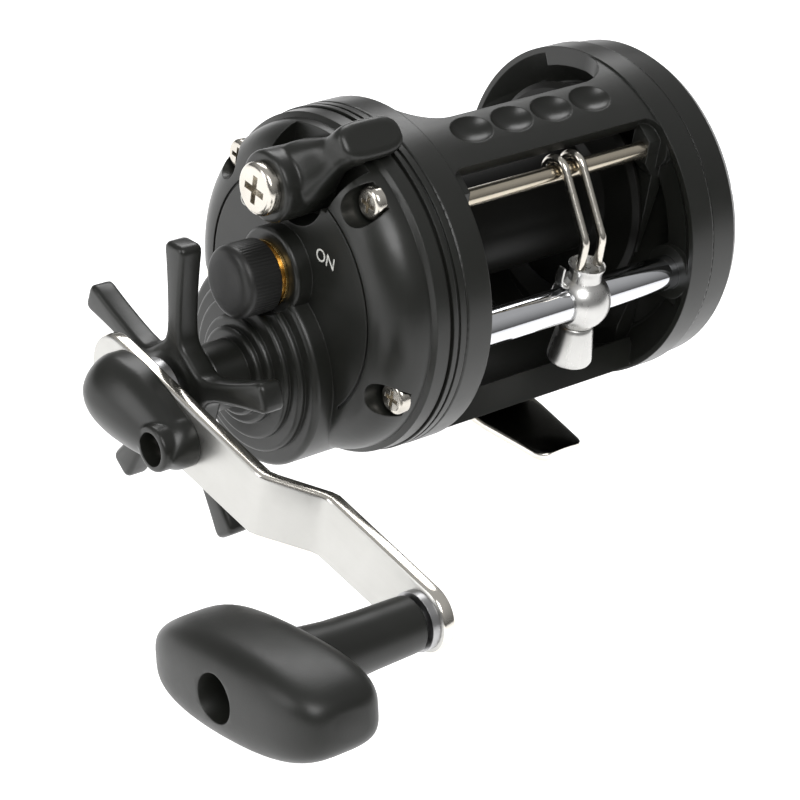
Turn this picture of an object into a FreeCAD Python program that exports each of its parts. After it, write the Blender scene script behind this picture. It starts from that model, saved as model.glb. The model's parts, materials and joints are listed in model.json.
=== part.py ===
"""Trolling reel with level wind and star drag, as separate pieces in one frame.

Axes: +Z up from the rod seat, -Y towards the rod tip, -X is the handle side.
Origin: centre of the underside of the foot, where it rests on the rod.
Every turning part lies along X, so most pieces are turned or extruded on X.
"""
import FreeCAD
import Part
import math
import os
import Sketcher

doc = FreeCAD.newDocument("trolling_reel")
sheet = doc.addObject("Spreadsheet::Sheet", "sizes")

SIZES = {
    "ring_height": 34.5,         # centre of the frame's rings above the foot's underside
    "spool_back": 2.5,           # spool axis behind the ring centre
    "spool_rise": 5.0,           # spool axis above the ring centre
    "ring_radius": 37.0,         # outer radius of the frame's two rings
    "ring_hole": 28.0,           # hole through each ring wall
    "ring_inside": 28.5,         # inner face of each ring, from the middle
    "ring_outside": 35.1,        # outer face of each ring
    "bar_thickness": 4.2,
    "plate_gap": 0.1,
    "side_plate_face": 38.5,
    "palm_face": 44.4,
    "cover_rim": 43.0,
    "cover_face": 52.0,          # flat disc of the gear cover
    "cover_wall": 2.0,
    "shaft_back": 3.5,           # handle shaft behind the ring centre
    "shaft_drop": 18.2,          # handle shaft below the ring centre
    "sleeve_radius": 4.0,
    "star_face": 71.4,
    "arm_face": 81.5,
    "arm_thickness": 3.0,
    "arm_length": 82.0,
    "arm_angle": 182.8,
    "knob_drop": 8.0,            # how far the arm steps in towards the reel
    "grip_radius": 9.6,
    "wind_forward": 30.0,        # level-wind tube in front of the ring centre
    "wind_rise": 0.5,
    "wind_radius": 3.8,
    "rod_forward": 18.5,         # guide rod
    "rod_rise": 25.5,
    "rod_radius": 1.9,
    "flange_radius": 24.0,
    "arbor_radius": 13.5,
    "spool_shaft_radius": 2.5,
    "lever_back": 3.0,           # free-spool lever pivot
    "lever_rise": 25.5,
    "running": 0.05,             # radial clearance of a turning fit
    "passing_gap": 0.4,          # gap between pieces that pass each other
}
for row, (alias, number) in enumerate(SIZES.items(), start=1):
    sheet.set(f"A{row}", alias)
    sheet.set(f"B{row}", str(number))
    sheet.setAlias(f"B{row}", alias)
doc.recompute()


class Size:
    """A length that carries its number and the sheet formula it comes from."""

    def __init__(self, number, formula):
        self.number = number
        self.formula = formula

    def join(self, other, sign, number):
        return Size(number, f"({self.formula} {sign} {as_size(other).formula})")

    def __add__(self, other):
        return self.join(other, "+", self.number + as_size(other).number)

    def __radd__(self, other):
        return as_size(other) + self

    def __sub__(self, other):
        return self.join(other, "-", self.number - as_size(other).number)

    def __rsub__(self, other):
        return as_size(other) - self

    def __mul__(self, other):
        return self.join(other, "*", self.number * as_size(other).number)

    def __neg__(self):
        return Size(-self.number, f"(0 - {self.formula})")


def as_size(value):
    if isinstance(value, Size):
        return value
    return Size(float(value), f"{float(value):.6f}")


def cell(alias):
    return Size(SIZES[alias], f"sizes.{alias}")


ZERO = as_size(0)
RING = cell("ring_radius")
INSIDE = cell("ring_inside")
OUTSIDE = cell("ring_outside")
RUNNING = cell("running")
CLEAR = cell("passing_gap")
SHAFT_RADIUS = cell("spool_shaft_radius")
SLEEVE = cell("sleeve_radius")
CENTRE = (ZERO, cell("ring_height"))
SPOOL = (cell("spool_back"), CENTRE[1] + cell("spool_rise"))
SHAFT = (cell("shaft_back"), CENTRE[1] - cell("shaft_drop"))
WIND = (-cell("wind_forward"), CENTRE[1] + cell("wind_rise"))
ROD = (-cell("rod_forward"), CENTRE[1] + cell("rod_rise"))
LEVER = (cell("lever_back"), CENTRE[1] + cell("lever_rise"))
ALONG_X = FreeCAD.Rotation(FreeCAD.Vector(0, 1, 0), 90)
counter = {}


def label(kind):
    """A fresh internal name for a helper object."""
    counter[kind] = counter.get(kind, 0) + 1
    return f"{kind}_{counter[kind]}"


def bind(item, prop, size):
    item.setExpression(prop, as_size(size).formula)


def place(item, x, y, z, rotation=None):
    """Put an item at sheet-driven coordinates."""
    base = [as_size(value) for value in (x, y, z)]
    point = FreeCAD.Vector(*[value.number for value in base])
    item.Placement = FreeCAD.Placement(point, rotation or FreeCAD.Rotation())
    for name, value in zip("xyz", base):
        bind(item, f"Placement.Base.{name}", value)


def rod(start, end, radius, centre=CENTRE):
    """A cylinder along X from start to end about a centre (y, z)."""
    item = doc.addObject("Part::Cylinder", label("rod"))
    bind(item, "Radius", radius)
    bind(item, "Height", as_size(end) - start)
    place(item, start, centre[0], centre[1], ALONG_X)
    return item


def taper(start, end, radius_start, radius_end, centre=CENTRE):
    """A cone along X."""
    item = doc.addObject("Part::Cone", label("taper"))
    bind(item, "Radius1", radius_start)
    bind(item, "Radius2", radius_end)
    bind(item, "Height", as_size(end) - start)
    place(item, start, centre[0], centre[1], ALONG_X)
    return item


def block(low, high):
    """A box between two corners."""
    item = doc.addObject("Part::Box", label("block"))
    for name, first, last in zip(("Length", "Width", "Height"), low, high):
        bind(item, name, as_size(last) - first)
    place(item, *low)
    return item


def ball(radius, x, y, z, stretch=None):
    """A sphere, or an ellipsoid when stretch gives three radii."""
    if stretch is None:
        item = doc.addObject("Part::Sphere", label("ball"))
        bind(item, "Radius", radius)
    else:
        item = doc.addObject("Part::Ellipsoid", label("ball"))
        bind(item, "Radius1", stretch[2])
        bind(item, "Radius2", stretch[0])
        bind(item, "Radius3", stretch[1])
    place(item, x, y, z)
    return item


def union(*items):
    item = doc.addObject("Part::MultiFuse", label("union"))
    item.Shapes = list(items)
    return item


def cut(base, *tools):
    item = doc.addObject("Part::Cut", label("cut"))
    item.Base = base
    item.Tool = tools[0] if len(tools) == 1 else union(*tools)
    return item


def common(first, second):
    item = doc.addObject("Part::Common", label("common"))
    item.Base = first
    item.Tool = second
    return item


def ring(start, end, outer, inner, centre=CENTRE):
    return cut(rod(start, end, outer, centre), rod(as_size(start) - 1, as_size(end) + 1, inner, centre))


def polar(radius, degrees, centre=CENTRE):
    """A point (y, z) on a circle; the angle runs from +Y towards +Z."""
    turn = math.radians(degrees)
    radius = as_size(radius)
    across = Size(radius.number * math.cos(turn), f"({radius.formula} * {math.cos(turn):.9f})")
    along = Size(radius.number * math.sin(turn), f"({radius.formula} * {math.sin(turn):.9f})")
    return (centre[0] + across, centre[1] + along)


def origin_plane(body, role):
    for feature in body.Origin.OriginFeatures:
        if feature.Role == role:
            return feature
    raise RuntimeError(f"{body.Name} has no {role}")


def outline_sketch(body, role, points):
    """A closed outline whose corners are each tied to the sheet."""
    sketch = body.newObject("Sketcher::SketchObject", label("outline"))
    sketch.AttachmentSupport = [(origin_plane(body, role), "")]
    sketch.MapMode = "FlatFace"
    corners = [(as_size(across), as_size(up)) for across, up in points]
    total = len(corners)
    for index, corner in enumerate(corners):
        following = corners[(index + 1) % total]
        first = FreeCAD.Vector(corner[0].number, corner[1].number, 0)
        last = FreeCAD.Vector(following[0].number, following[1].number, 0)
        sketch.addGeometry(Part.LineSegment(first, last), False)
    for index in range(total):
        sketch.addConstraint(Sketcher.Constraint("Coincident", index, 2, (index + 1) % total, 1))
    for index, corner in enumerate(corners):
        for kind, size in zip(("DistanceX", "DistanceY"), corner):
            rule = Sketcher.Constraint(kind, -1, 1, index, 1, size.number)
            number = sketch.addConstraint(rule)
            sketch.renameConstraint(number, f"{kind}_{index}")
            sketch.setExpression(f"Constraints.{kind}_{index}", size.formula)
    return sketch


def turned(points, centre=CENTRE):
    """A body turned about X from an outline of (x, radius) corners."""
    body = doc.addObject("PartDesign::Body", label("turned"))
    sketch = outline_sketch(body, "XY_Plane", points)
    revolution = body.newObject("PartDesign::Revolution", label("revolution"))
    revolution.Profile = sketch
    revolution.ReferenceAxis = (sketch, ["H_Axis"])
    revolution.Angle = 360.0
    sketch.Visibility = False
    place(body, 0, centre[0], centre[1])
    return body


def extruded(points, start, end, centre=(ZERO, ZERO), rounding=None, tilt=0.0):
    """A body extruded along X from an outline of (y, z) corners about a centre.

    rounding is a radius, or a list of (corner index, radius).
    """
    body = doc.addObject("PartDesign::Body", label("extruded"))
    sketch = outline_sketch(body, "YZ_Plane", points)
    pad = body.newObject("PartDesign::Pad", label("pad"))
    pad.Profile = sketch
    bind(pad, "Length", as_size(end) - start)
    sketch.Visibility = False
    result = body
    if rounding is not None:
        doc.recompute()
        if not isinstance(rounding, list):
            rounding = [(index, rounding) for index in range(len(points))]
        result = doc.addObject("Part::Fillet", label("rounded"))
        result.Base = body
        result.Edges = [
            (edge_through(body.Shape, points[index], "yz"), radius, radius)
            for index, radius in rounding
        ]
    place(body, start, centre[0], centre[1], FreeCAD.Rotation(FreeCAD.Vector(1, 0, 0), tilt))
    return result


def extruded_up(points, low, high, rounding=(), centre=(ZERO, ZERO), tilt=0.0):
    """A body extruded along Z from an outline of (x, y) corners, tilted about X at a centre.

    rounding is a list of (corner index, radius).
    """
    body = doc.addObject("PartDesign::Body", label("extruded_up"))
    sketch = outline_sketch(body, "XY_Plane", points)
    pad = body.newObject("PartDesign::Pad", label("pad"))
    pad.Profile = sketch
    bind(pad, "Length", as_size(high) - low)
    sketch.Visibility = False
    result = body
    if rounding:
        doc.recompute()
        result = doc.addObject("Part::Fillet", label("rounded"))
        result.Base = body
        result.Edges = [
            (edge_through(body.Shape, points[index], "xy"), radius, radius)
            for index, radius in rounding
        ]
    turn = math.radians(tilt)
    place(
        body, 0, centre[0] - as_size(low) * math.sin(turn), centre[1] + as_size(low) * math.cos(turn),
        FreeCAD.Rotation(FreeCAD.Vector(1, 0, 0), tilt),
    )
    return result


def edge_through(shape, corner, axes):
    """Number of the straight edge normal to two axes that passes through a corner."""
    wanted = [as_size(value).number for value in corner]
    for number, edge in enumerate(shape.Edges, start=1):
        first, last = (
            [getattr(vertex.Point, axis) for axis in axes]
            for vertex in (edge.Vertexes[0], edge.Vertexes[-1])
        )
        if math.dist(first, last) < 1e-5 and math.dist(first, wanted) < 1e-4:
            return number
    raise RuntimeError(f"no edge at {corner}")


def rounded(item, radius, test):
    """Fillet the edges of an item that pass a test on the edge."""
    doc.recompute()
    chosen = [
        (number, radius, radius)
        for number, edge in enumerate(item.Shape.Edges, start=1)
        if test(edge)
    ]
    fillet = doc.addObject("Part::Fillet", label("rounded"))
    fillet.Base = item
    fillet.Edges = chosen
    return fillet


def is_circle(edge, x, radius, tolerance=0.02):
    curve = edge.Curve
    if curve.TypeId != "Part::GeomCircle":
        return False
    return abs(curve.Radius - radius) < tolerance and abs(curve.Center.x - x) < tolerance


def sector(start, end, outer, inner, low, high):
    """Part of a ring about the ring centre between two angles in degrees."""
    reach = 80.0
    steps = max(2, int(math.ceil((high - low) / 60.0)) + 1)
    turns = [low + (high - low) * step / (steps - 1) for step in range(steps)]
    points = [(0, 0)]
    points += [
        (reach * math.cos(math.radians(turn)), reach * math.sin(math.radians(turn)))
        for turn in turns
    ]
    wedge = extruded(points, start, end, CENTRE)
    return common(ring(start, end, outer, inner), wedge)


BOLT_CIRCLE = 32.2
COVER_SCREW_ANGLES = (34, 118.5, 196, 336)
PALM_SCREW_ANGLES = (45, 150, 225, 315)
parts = {}


def keep(name, item):
    """Give a finished piece its own label, which is also its file name."""
    item.Label = name
    parts[name] = item
    return item


def pan_screw(face, centre, head_radius, head_height, shank_radius, shank_end, towards=-1):
    """A cross-recess pan head screw whose head seats on a face normal to X."""
    top = as_size(face) + towards * head_height
    low, high = (top, face) if towards < 0 else (face, top)
    head = rod(low, high, head_radius, centre)
    head = rounded(
        head, head_height * 0.45,
        lambda edge: is_circle(edge, top.number, head_radius),
    )
    if towards < 0:
        shank = rod(face, shank_end, shank_radius, centre)
        slot_low, slot_high = top - 1, top + head_height * 0.55
    else:
        shank = rod(shank_end, face, shank_radius, centre)
        slot_low, slot_high = top - head_height * 0.55, top + 1
    half = head_radius * 0.55
    thin = head_radius * 0.13
    tall = block(
        (slot_low, centre[0] - thin, centre[1] - half),
        (slot_high, centre[0] + thin, centre[1] + half),
    )
    wide = block(
        (slot_low, centre[0] - half, centre[1] - thin),
        (slot_high, centre[0] + half, centre[1] + thin),
    )
    return cut(union(head, shank), tall, wide)


# ---------------------------------------------------------------- gears

PRESSURE = math.radians(20.0)


def involute_angle(turn):
    return math.tan(turn) - turn


def gear_wire(teeth, module, phase, backlash=0.1):
    """Closed outline of a spur gear in the YZ plane, first tooth at the phase angle."""
    pitch = teeth * module / 2.0
    base = pitch * math.cos(PRESSURE)
    tip = pitch + 0.75 * module
    root = pitch - 1.15 * module
    half_tooth = math.pi / (2.0 * teeth) - backlash / (2.0 * pitch)
    low = max(base, root)
    edges = []

    def flank(side, middle):
        points = []
        for step in range(7):
            radius = low + (tip - low) * step / 6.0
            roll = math.acos(min(1.0, base / radius))
            turn = half_tooth + involute_angle(PRESSURE) - involute_angle(roll)
            angle = middle + side * turn
            points.append(FreeCAD.Vector(0, radius * math.cos(angle), radius * math.sin(angle)))
        return points

    def around(first, last, radius):
        middle = math.atan2(first.z + last.z, first.y + last.y)
        centre = FreeCAD.Vector(0, radius * math.cos(middle), radius * math.sin(middle))
        return Part.Arc(first, centre, last).toShape()

    previous_root = None
    first_root = None
    for index in range(teeth):
        middle = phase + 2.0 * math.pi * index / teeth
        rising = flank(-1, middle)
        falling = flank(1, middle)[::-1]
        start = FreeCAD.Vector(rising[0])
        finish = FreeCAD.Vector(falling[-1])
        start.multiply(root / start.Length)
        finish.multiply(root / finish.Length)
        if previous_root is not None:
            edges.append(around(previous_root, start, root))
        else:
            first_root = start
        if low > root + 1e-6:
            edges.append(Part.LineSegment(start, rising[0]).toShape())
        for curve_points in (rising, falling):
            curve = Part.BSplineCurve()
            curve.interpolate(curve_points)
            if curve_points is falling:
                edges.append(around(rising[-1], falling[0], tip))
            edges.append(curve.toShape())
        if low > root + 1e-6:
            edges.append(Part.LineSegment(falling[-1], finish).toShape())
        previous_root = finish
    edges.append(around(previous_root, first_root, root))
    return Part.Wire(Part.__sortEdges__(edges))


def gear(teeth, module, start, end, centre, phase, bore):
    """A spur gear along X with a round bore."""
    start_x = as_size(start).number
    end_x = as_size(end).number
    face = Part.Face(gear_wire(teeth, module, phase))
    solid = face.extrude(FreeCAD.Vector(end_x - start_x, 0, 0))
    hole = Part.makeCylinder(
        as_size(bore).number, end_x - start_x + 2,
        FreeCAD.Vector(-1, 0, 0), FreeCAD.Vector(1, 0, 0),
    )
    item = doc.addObject("Part::Feature", label("gear"))
    item.Shape = solid.cut(hole)
    place(item, start, centre[0], centre[1])
    return item


def meshing_phase(driver_centre, driver_teeth, driver_phase, centre, teeth):
    """First-tooth angle that puts a gap opposite the driver's tooth on the centre line."""
    across = centre[0].number - driver_centre[0].number
    up = centre[1].number - driver_centre[1].number
    line = math.atan2(up, across)
    fraction = ((line - driver_phase) * driver_teeth / (2.0 * math.pi)) % 1.0
    opposite = line + math.pi
    return opposite + (fraction + 0.5) * 2.0 * math.pi / teeth


# ---------------------------------------------------------------- frame and foot

DIMPLES = 4
DIMPLE_PITCH = 11.0
DIMPLE_SHIFT = 0.3          # the row sits a little towards the handle
BAR_FRONT = 118.0


def make_bar():
    """Dimpled top bar, scooped behind for the thumb and rounded into the rings."""
    outer = RING - 0.4
    shell = sector(-INSIDE - 2.5, INSIDE + 2.5, outer, RING - cell("bar_thickness"), 60, 128)
    thumb = extruded_up(
        [(-INSIDE, -4.5), (INSIDE, -4.5), (INSIDE, 60), (-INSIDE, 60)],
        55, 75, rounding=[(0, 10.0), (1, 10.0)],
    )
    window = extruded_up(
        [(-INSIDE, -30), (INSIDE, -30), (INSIDE, 0), (-INSIDE, 0)],
        25, 42, rounding=[(2, 3.0), (3, 3.0)], centre=CENTRE, tilt=BAR_FRONT - 90.0,
    )
    dimples = []
    for index in range(DIMPLES):
        across, up = polar(outer + 3.26, 104.7)
        x = (index - (DIMPLES - 1) / 2.0) * DIMPLE_PITCH - DIMPLE_SHIFT
        dimples.append(ball(0, x, across, up, (6.7, 5.16, 5.16)))
    return cut(shell, thumb, window, *dimples)


def make_cheek(side):
    """Dished wall round the spool flange, with a tapered rib that carries the guide rod's end."""
    low, high = (-33.3, -INSIDE) if side < 0 else (INSIDE, 33.3)
    disc = common(
        rod(low, high, RING - 2.0),
        block((low, -19.3, 0), (high, 40, 80)),
    )
    wide, narrow = RING - 4.6, cell("flange_radius") + 1.0
    if side < 0:
        dish = taper(-32.2, -INSIDE + 0.01, narrow, wide, SPOOL)
    else:
        dish = taper(INSIDE - 0.01, 32.2, wide, narrow, SPOOL)
    # the rib is wide under the top bar and runs out at the height of the tube
    corners = [
        (side * x, CENTRE[1] + z)
        for x, z in (
            (25.2, 31.5), (25.2, 23.0), (27.9, 19.5), (27.9, 0.5), (28.6, 0.5), (33.3, 29.5), (33.3, 31.5),
        )
    ]
    rib = common(extruded_up(corners, 15.5, 20.5, tilt=90.0), rod(-40, 40, RING - 2.2))
    relief = extruded_up(
        [(side * x, CENTRE[1] + z) for x, z in ((28.6, 0.5), (33.4, 29.5), (40.0, 29.5), (40.0, 0.5))],
        16.5, 24.0, tilt=90.0,
    )
    swept = cell("flange_radius") + 0.6
    wall = cut(disc, relief, dish, rod(-33.4, 33.4, swept, SPOOL))
    return union(wall, cut(rib, rod(-27.9, 27.9, swept, SPOOL)))


def make_frame():
    """One moulded piece: two rings, dimpled top bar, rear pillar and bottom crossbar."""
    funnel_end = INSIDE + 4.6
    ring_hole = cell("ring_hole")
    walls = []
    for side in (-1, 1):
        low, high = (-OUTSIDE, -INSIDE) if side < 0 else (INSIDE, OUTSIDE)
        corner = (low if side < 0 else high).number
        wall = rounded(rod(low, high, RING), 0.6, lambda edge: is_circle(edge, corner, RING.number))
        if side < 0:
            funnel = taper(-funnel_end, -INSIDE + 0.01, ring_hole + 0.6, RING - 1.2)
        else:
            funnel = taper(INSIDE - 0.01, funnel_end, RING - 1.2, ring_hole + 0.6)
        walls.append(cut(wall, funnel, rod(low - 1, high + 1, ring_hole)))
    pillar = sector(-INSIDE - 2.5, INSIDE + 2.5, RING - 0.6, RING - 4.0, 322, 352)
    sill = sector(-INSIDE - 2.5, INSIDE + 2.5, RING - 0.4, 30.4, 226, 314)
    ears = []
    for side in (-1, 1):
        low, high = (-OUTSIDE, -INSIDE) if side < 0 else (INSIDE, OUTSIDE)
        ears.append(rod(low, high, 4.4, ROD))
        ears.append(rod(low, high, 6.0, WIND))
        web_low, web_high = (low, -INSIDE - 1.5) if side < 0 else (INSIDE + 1.5, high)
        ears.append(sector(web_low, web_high, RING - 0.5, ring_hole, 112, 192))
    whole = union(*walls, make_bar(), pillar, sill, *ears, make_cheek(-1), make_cheek(1))
    bores = [
        rod(-OUTSIDE - 1, OUTSIDE + 1, cell("rod_radius"), ROD),
        rod(-OUTSIDE - 1, OUTSIDE + 1, cell("wind_radius"), WIND),
        rod(-OUTSIDE - 1, OUTSIDE + 1, 4.0, SPOOL),
    ]
    # only the crossbar is cut flat where the foot bears; the rings straddle the rod
    seat = block((-INSIDE + 0.4, -60, -10), (INSIDE - 0.4, 60, 2.0))
    holes = []
    for side in (-1, 1):
        for angle in (COVER_SCREW_ANGLES if side < 0 else PALM_SCREW_ANGLES):
            centre = polar(BOLT_CIRCLE, angle)
            low, high = (-OUTSIDE - 1, -OUTSIDE + 2.6) if side < 0 else (OUTSIDE - 2.6, OUTSIDE + 1)
            holes.append(rod(low, high, 1.5, centre))
    for across in (-19, 19):
        for along in (-11, 11):
            holes.append(upright(across, along, 1.0, 8.0, 1.6))
    return keep("frame", cut(whole, *bores, seat, *holes))


def upright(x, y, low, high, radius):
    """A cylinder along Z."""
    item = doc.addObject("Part::Cylinder", label("upright"))
    bind(item, "Radius", radius)
    bind(item, "Height", as_size(high) - low)
    place(item, x, y, low)
    return item


def make_foot():
    """Stamped plate: flat middle, two arched arms that taper towards their ends."""
    half_length = 36.8
    middle = extruded_up(
        [(-26, -15.5), (26, -15.5), (26, 15.5), (-26, 15.5)], 0.0, 2.0,
    )
    arms = []
    arch_outer = 32.0
    for side in (-1, 1):
        outline = extruded_up(
            [
                (-9.0, side * 12.0), (9.0, side * 12.0), (8.5, side * 20.0),
                (6.0, side * half_length), (-6.0, side * half_length), (-8.5, side * 20.0),
            ],
            -4.0, 4.0, rounding=[(3, 2.4), (4, 2.4)],
        )
        shell = doc.addObject("Part::Cylinder", label("arch"))
        shell.Radius = arch_outer
        shell.Height = 80.0
        place(shell, 0, -40, 2.0 - arch_outer, FreeCAD.Rotation(FreeCAD.Vector(1, 0, 0), -90))
        hollow = doc.addObject("Part::Cylinder", label("arch"))
        hollow.Radius = arch_outer - 2.0
        hollow.Height = 82.0
        place(hollow, 0, -41, 2.0 - arch_outer, FreeCAD.Rotation(FreeCAD.Vector(1, 0, 0), -90))
        arms.append(common(outline, cut(shell, hollow)))
    holes = [upright(x, y, -1, 3, 1.6) for x in (-19, 19) for y in (-11, 11)]
    # the underside of the middle stays flat, so the arch is only cut outside it
    whole = cut(union(middle, *arms), block((-26, -15.4, -4), (26, 15.4, 0)), *holes)
    return keep("foot", whole)


def make_rivets():
    """Four rivets that hold the foot to the crossbar."""
    rivets = []
    for x in (-19, 19):
        for y in (-11, 11):
            surface = CENTRE[1].number - math.sqrt(30.4 ** 2 - 11.0 ** 2)
            rivets.append(upright(x, y, 0.1, surface - 0.6, 1.6))
    return keep("foot_rivets", union(*rivets))


# ---------------------------------------------------------------- palm side

def make_palm_side():
    """Palm plate, its screws and the bearing that carries the far end of the spool."""
    inner = OUTSIDE + cell("plate_gap")
    face = cell("palm_face")
    outer = turned([
        (inner, 0), (inner, RING - 0.4), (face - 2.6, RING - 0.9),
        (face - 1.0, RING - 2.0), (face, RING - 4.6), (face, 26), (face - 0.5, 25.2),
        (face - 0.5, 0),
    ])
    cavity = cut(
        union(rod(inner - 1, face - 2.2, 28.6), rod(inner - 1, face - 2.2, 5.4, WIND)),
        ring(38.0, face, 8.4, 5.0, SPOOL),
    )
    cavity = cut(cavity, rod(OUTSIDE, face, 4.2, polar(15.6, 300)))
    screws = []
    holes = []
    for angle in PALM_SCREW_ANGLES:
        centre = polar(BOLT_CIRCLE, angle)
        holes.append(rod(inner - 1, face + 1, 1.55, centre))
        holes.append(rod(face - 3.0, face + 2, 3.0, centre))
        screws.append(pan_screw(face - 3.0, centre, 2.7, 1.8, 1.5, OUTSIDE - 2.4, towards=1))
    button_centre = polar(15.6, 300)
    slot = union(
        rod(inner - 1, face + 1, 2.3, (button_centre[0] - 2, button_centre[1])),
        rod(inner - 1, face + 1, 2.3, (button_centre[0] + 2, button_centre[1])),
        block(
            (inner - 1, button_centre[0] - 2, button_centre[1] - 2.3),
            (face + 1, button_centre[0] + 2, button_centre[1] + 2.3),
        ),
    )
    seat = rod(inner - 1, face - 1.6, 5.0, SPOOL)
    keep("palm_plate", cut(outer, cavity, slot, seat, *holes))
    keep("palm_plate_screws", union(*screws))
    keep("palm_bearing", ring(38.0, face - 1.7, 5.0, PALM_JOURNAL + RUNNING, SPOOL))
    inner_plate = rod(33.4, OUTSIDE - 0.05, cell("ring_hole") - 0.05)
    keep("palm_inner_plate", cut(
        inner_plate, rod(33, 36, 4.0, SPOOL), rod(33, 36, 6.05, WIND), rod(33, 36, 4.45, ROD),
    ))
    return button_centre


def make_click_button(centre):
    """Clicker slide: a ridged button outside, a neck through the slot and a tongue inside."""
    face = cell("palm_face")
    low = face + CLEAR
    button = rod(low - 0.5, low + 2.6, 4.0, centre)
    neck = rod(face - 3.4, face, 1.9, centre)
    grooves = [
        block(
            (low + 1.9, centre[0] - 5, centre[1] + offset - 0.4),
            (low + 4, centre[0] + 5, centre[1] + offset + 0.4),
        )
        for offset in (-2, 0, 2)
    ]
    keep("click_button", cut(union(button, neck), *grooves))


# ---------------------------------------------------------------- handle-side shells

def make_side_plate():
    """Flat plate between the frame and the gear cover, with the spool bearing."""
    inner = -OUTSIDE - cell("plate_gap")
    outer = -cell("side_plate_face")
    plate = rod(outer, inner, RING - 0.1)
    groove = ring(outer + 1.1, outer + 1.8, RING + 1, RING - 0.6)
    holes = [rod(outer - 1, inner + 1, 1.6, polar(BOLT_CIRCLE, angle)) for angle in COVER_SCREW_ANGLES]
    holes.append(rod(outer - 1, inner + 1, 6.0, SPOOL))
    holes.append(rod(outer - 1, outer + 1.5, SLEEVE, SHAFT))
    keep("side_plate", cut(plate, groove, *holes))
    keep("side_bearing", ring(outer + 0.3, inner, 6.0, SHAFT_RADIUS + RUNNING, SPOOL))


HOUSING_STEPS = (           # (outer face, radius, edge rounding) of the gear housing
    (-56.5, 22.0, 1.3), (-58.0, 18.6, 0.9), (-59.2, 15.4, 0.7), (-60.6, 11.8, 0.8), (-62.0, 9.6, 0.8),
    (-70.2, 7.2, 0.6),
)
BOSS_FACE = -56.0
KNOB_RADIUS = 7.8


def dome(points, face, radius, fillet):
    """A turned cup whose outer corner is one large fillet."""
    return rounded(turned(points), fillet, lambda edge: is_circle(edge, face, radius))


def make_cover():
    """Domed gear cover with the gear housing bulge, screw pockets and lever pocket."""
    start = -cell("side_plate_face")
    rim = -cell("cover_rim")
    face = -cell("cover_face")
    wall = cell("cover_wall")
    dome_radius = 35.2
    shell = dome(
        [
            (start, 0), (start, RING - 0.4), (rim + 0.6, RING - 0.6), (rim, dome_radius),
            (face, dome_radius), (face, 0),
        ],
        face.number, dome_radius, 8.9,
    )
    housing = [
        rounded(
            rod(x, -42.0, radius, SHAFT), rounding,
            lambda edge, x=x, radius=radius: is_circle(edge, x, radius),
        )
        for x, radius, rounding in HOUSING_STEPS
    ]
    boss_radius = 9.6
    boss = rounded(
        rod(BOSS_FACE, -44.0, boss_radius, SPOOL), 0.8,
        lambda edge: is_circle(edge, BOSS_FACE, boss_radius),
    )
    outer = union(shell, boss, *housing)
    cavity_radius = dome_radius - wall.number
    cavity_face = face + wall
    cavity = union(
        dome(
            [(start + 1, 0), (start + 1, cavity_radius), (cavity_face, cavity_radius), (cavity_face, 0)],
            cavity_face.number, cavity_radius, 7.0,
        ),
        rod(-54.5, -44.0, 20.0, SHAFT),
        rod(-54.2, -40.0, 7.0, SPOOL),
    )
    lever_pocket = union(
        rod(-70, -45.0, 9.6, LEVER),
        common(
            rod(-70, -45.0, 40.0),
            extruded([(-11.0, -2.0), (9.6, -2.0), (9.6, 22), (-19.5, 22)], -70, -44.0, LEVER),
        ),
    )
    pocket_skin = union(
        rod(-70, -43.0, 11.6, LEVER),
        extruded([(-14.0, -4.0), (11.6, -4.0), (11.6, 24), (-23.0, 24)], -70, -43.0, LEVER),
    )
    posts = []
    pockets = []
    for angle in COVER_SCREW_ANGLES:
        centre = polar(BOLT_CIRCLE, angle)
        pockets.append(rod(-80, -45.6, 4.1, centre))
        pockets.append(rod(-80, start + 1, 1.6, centre))
        posts.append(rod(-80, start, 5.6, centre))
    cavity = cut(cavity, pocket_skin, *posts)
    bores = [
        rod(-71, -40, SLEEVE + 1.6, SHAFT),
        rod(-57, -40, 4.2, SPOOL),
        rod(-63, -40, 3.0, LEVER),
    ]
    groove = cut(ring(face - 1, face + 0.5, 26.2, 25.6), rod(-70, -40, 23.5, SHAFT))
    seam = ring(start - 0.7, start + 1, RING + 2, 36.0)
    knob_recess = rod(-75, BOSS_FACE, KNOB_RADIUS + 0.9, SPOOL)
    keep("gear_cover", cut(
        cut(outer, cavity), lever_pocket, *pockets, *bores, groove, seam, knob_recess,
    ))
    collar_base = BOSS_FACE - 0.05
    collar = ring(-62.5, collar_base, 6.1, 4.2, SPOOL)
    flange = ring(collar_base - 0.7, collar_base, 7.0, 4.2, SPOOL)
    keep("cast_collar", union(collar, flange))
    screws = [
        pan_screw(-45.6, polar(BOLT_CIRCLE, angle), 3.5, 2.3, 1.5, -OUTSIDE + 2.4)
        for angle in COVER_SCREW_ANGLES
    ]
    keep("cover_screws", union(*screws))


def make_cast_knob():
    """Knurled cup that screws onto the brass collar and presses on the spool shaft."""
    front = -66.5
    outer = rod(front, -58.0, KNOB_RADIUS, SPOOL)
    outer = rounded(outer, 1.8, lambda edge: is_circle(edge, front, KNOB_RADIUS))
    keep("cast_knob", cut(outer, rod(front + 1.8, -50.0, 6.1 + RUNNING, SPOOL)))


# ---------------------------------------------------------------- spool and drive

MAIN_TEETH = 56
PINION_TEETH = 14
CENTRE_DISTANCE = math.hypot(SPOOL[0].number - SHAFT[0].number, SPOOL[1].number - SHAFT[1].number)
MAIN_MODULE = 2.0 * CENTRE_DISTANCE / (MAIN_TEETH + PINION_TEETH)
WIND_MODULE = 0.5
SPOOL_GEAR_TEETH = 12
IDLER_TEETH = 52
WORM_GEAR_TEETH = 16
PALM_JOURNAL = 1.75


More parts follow.
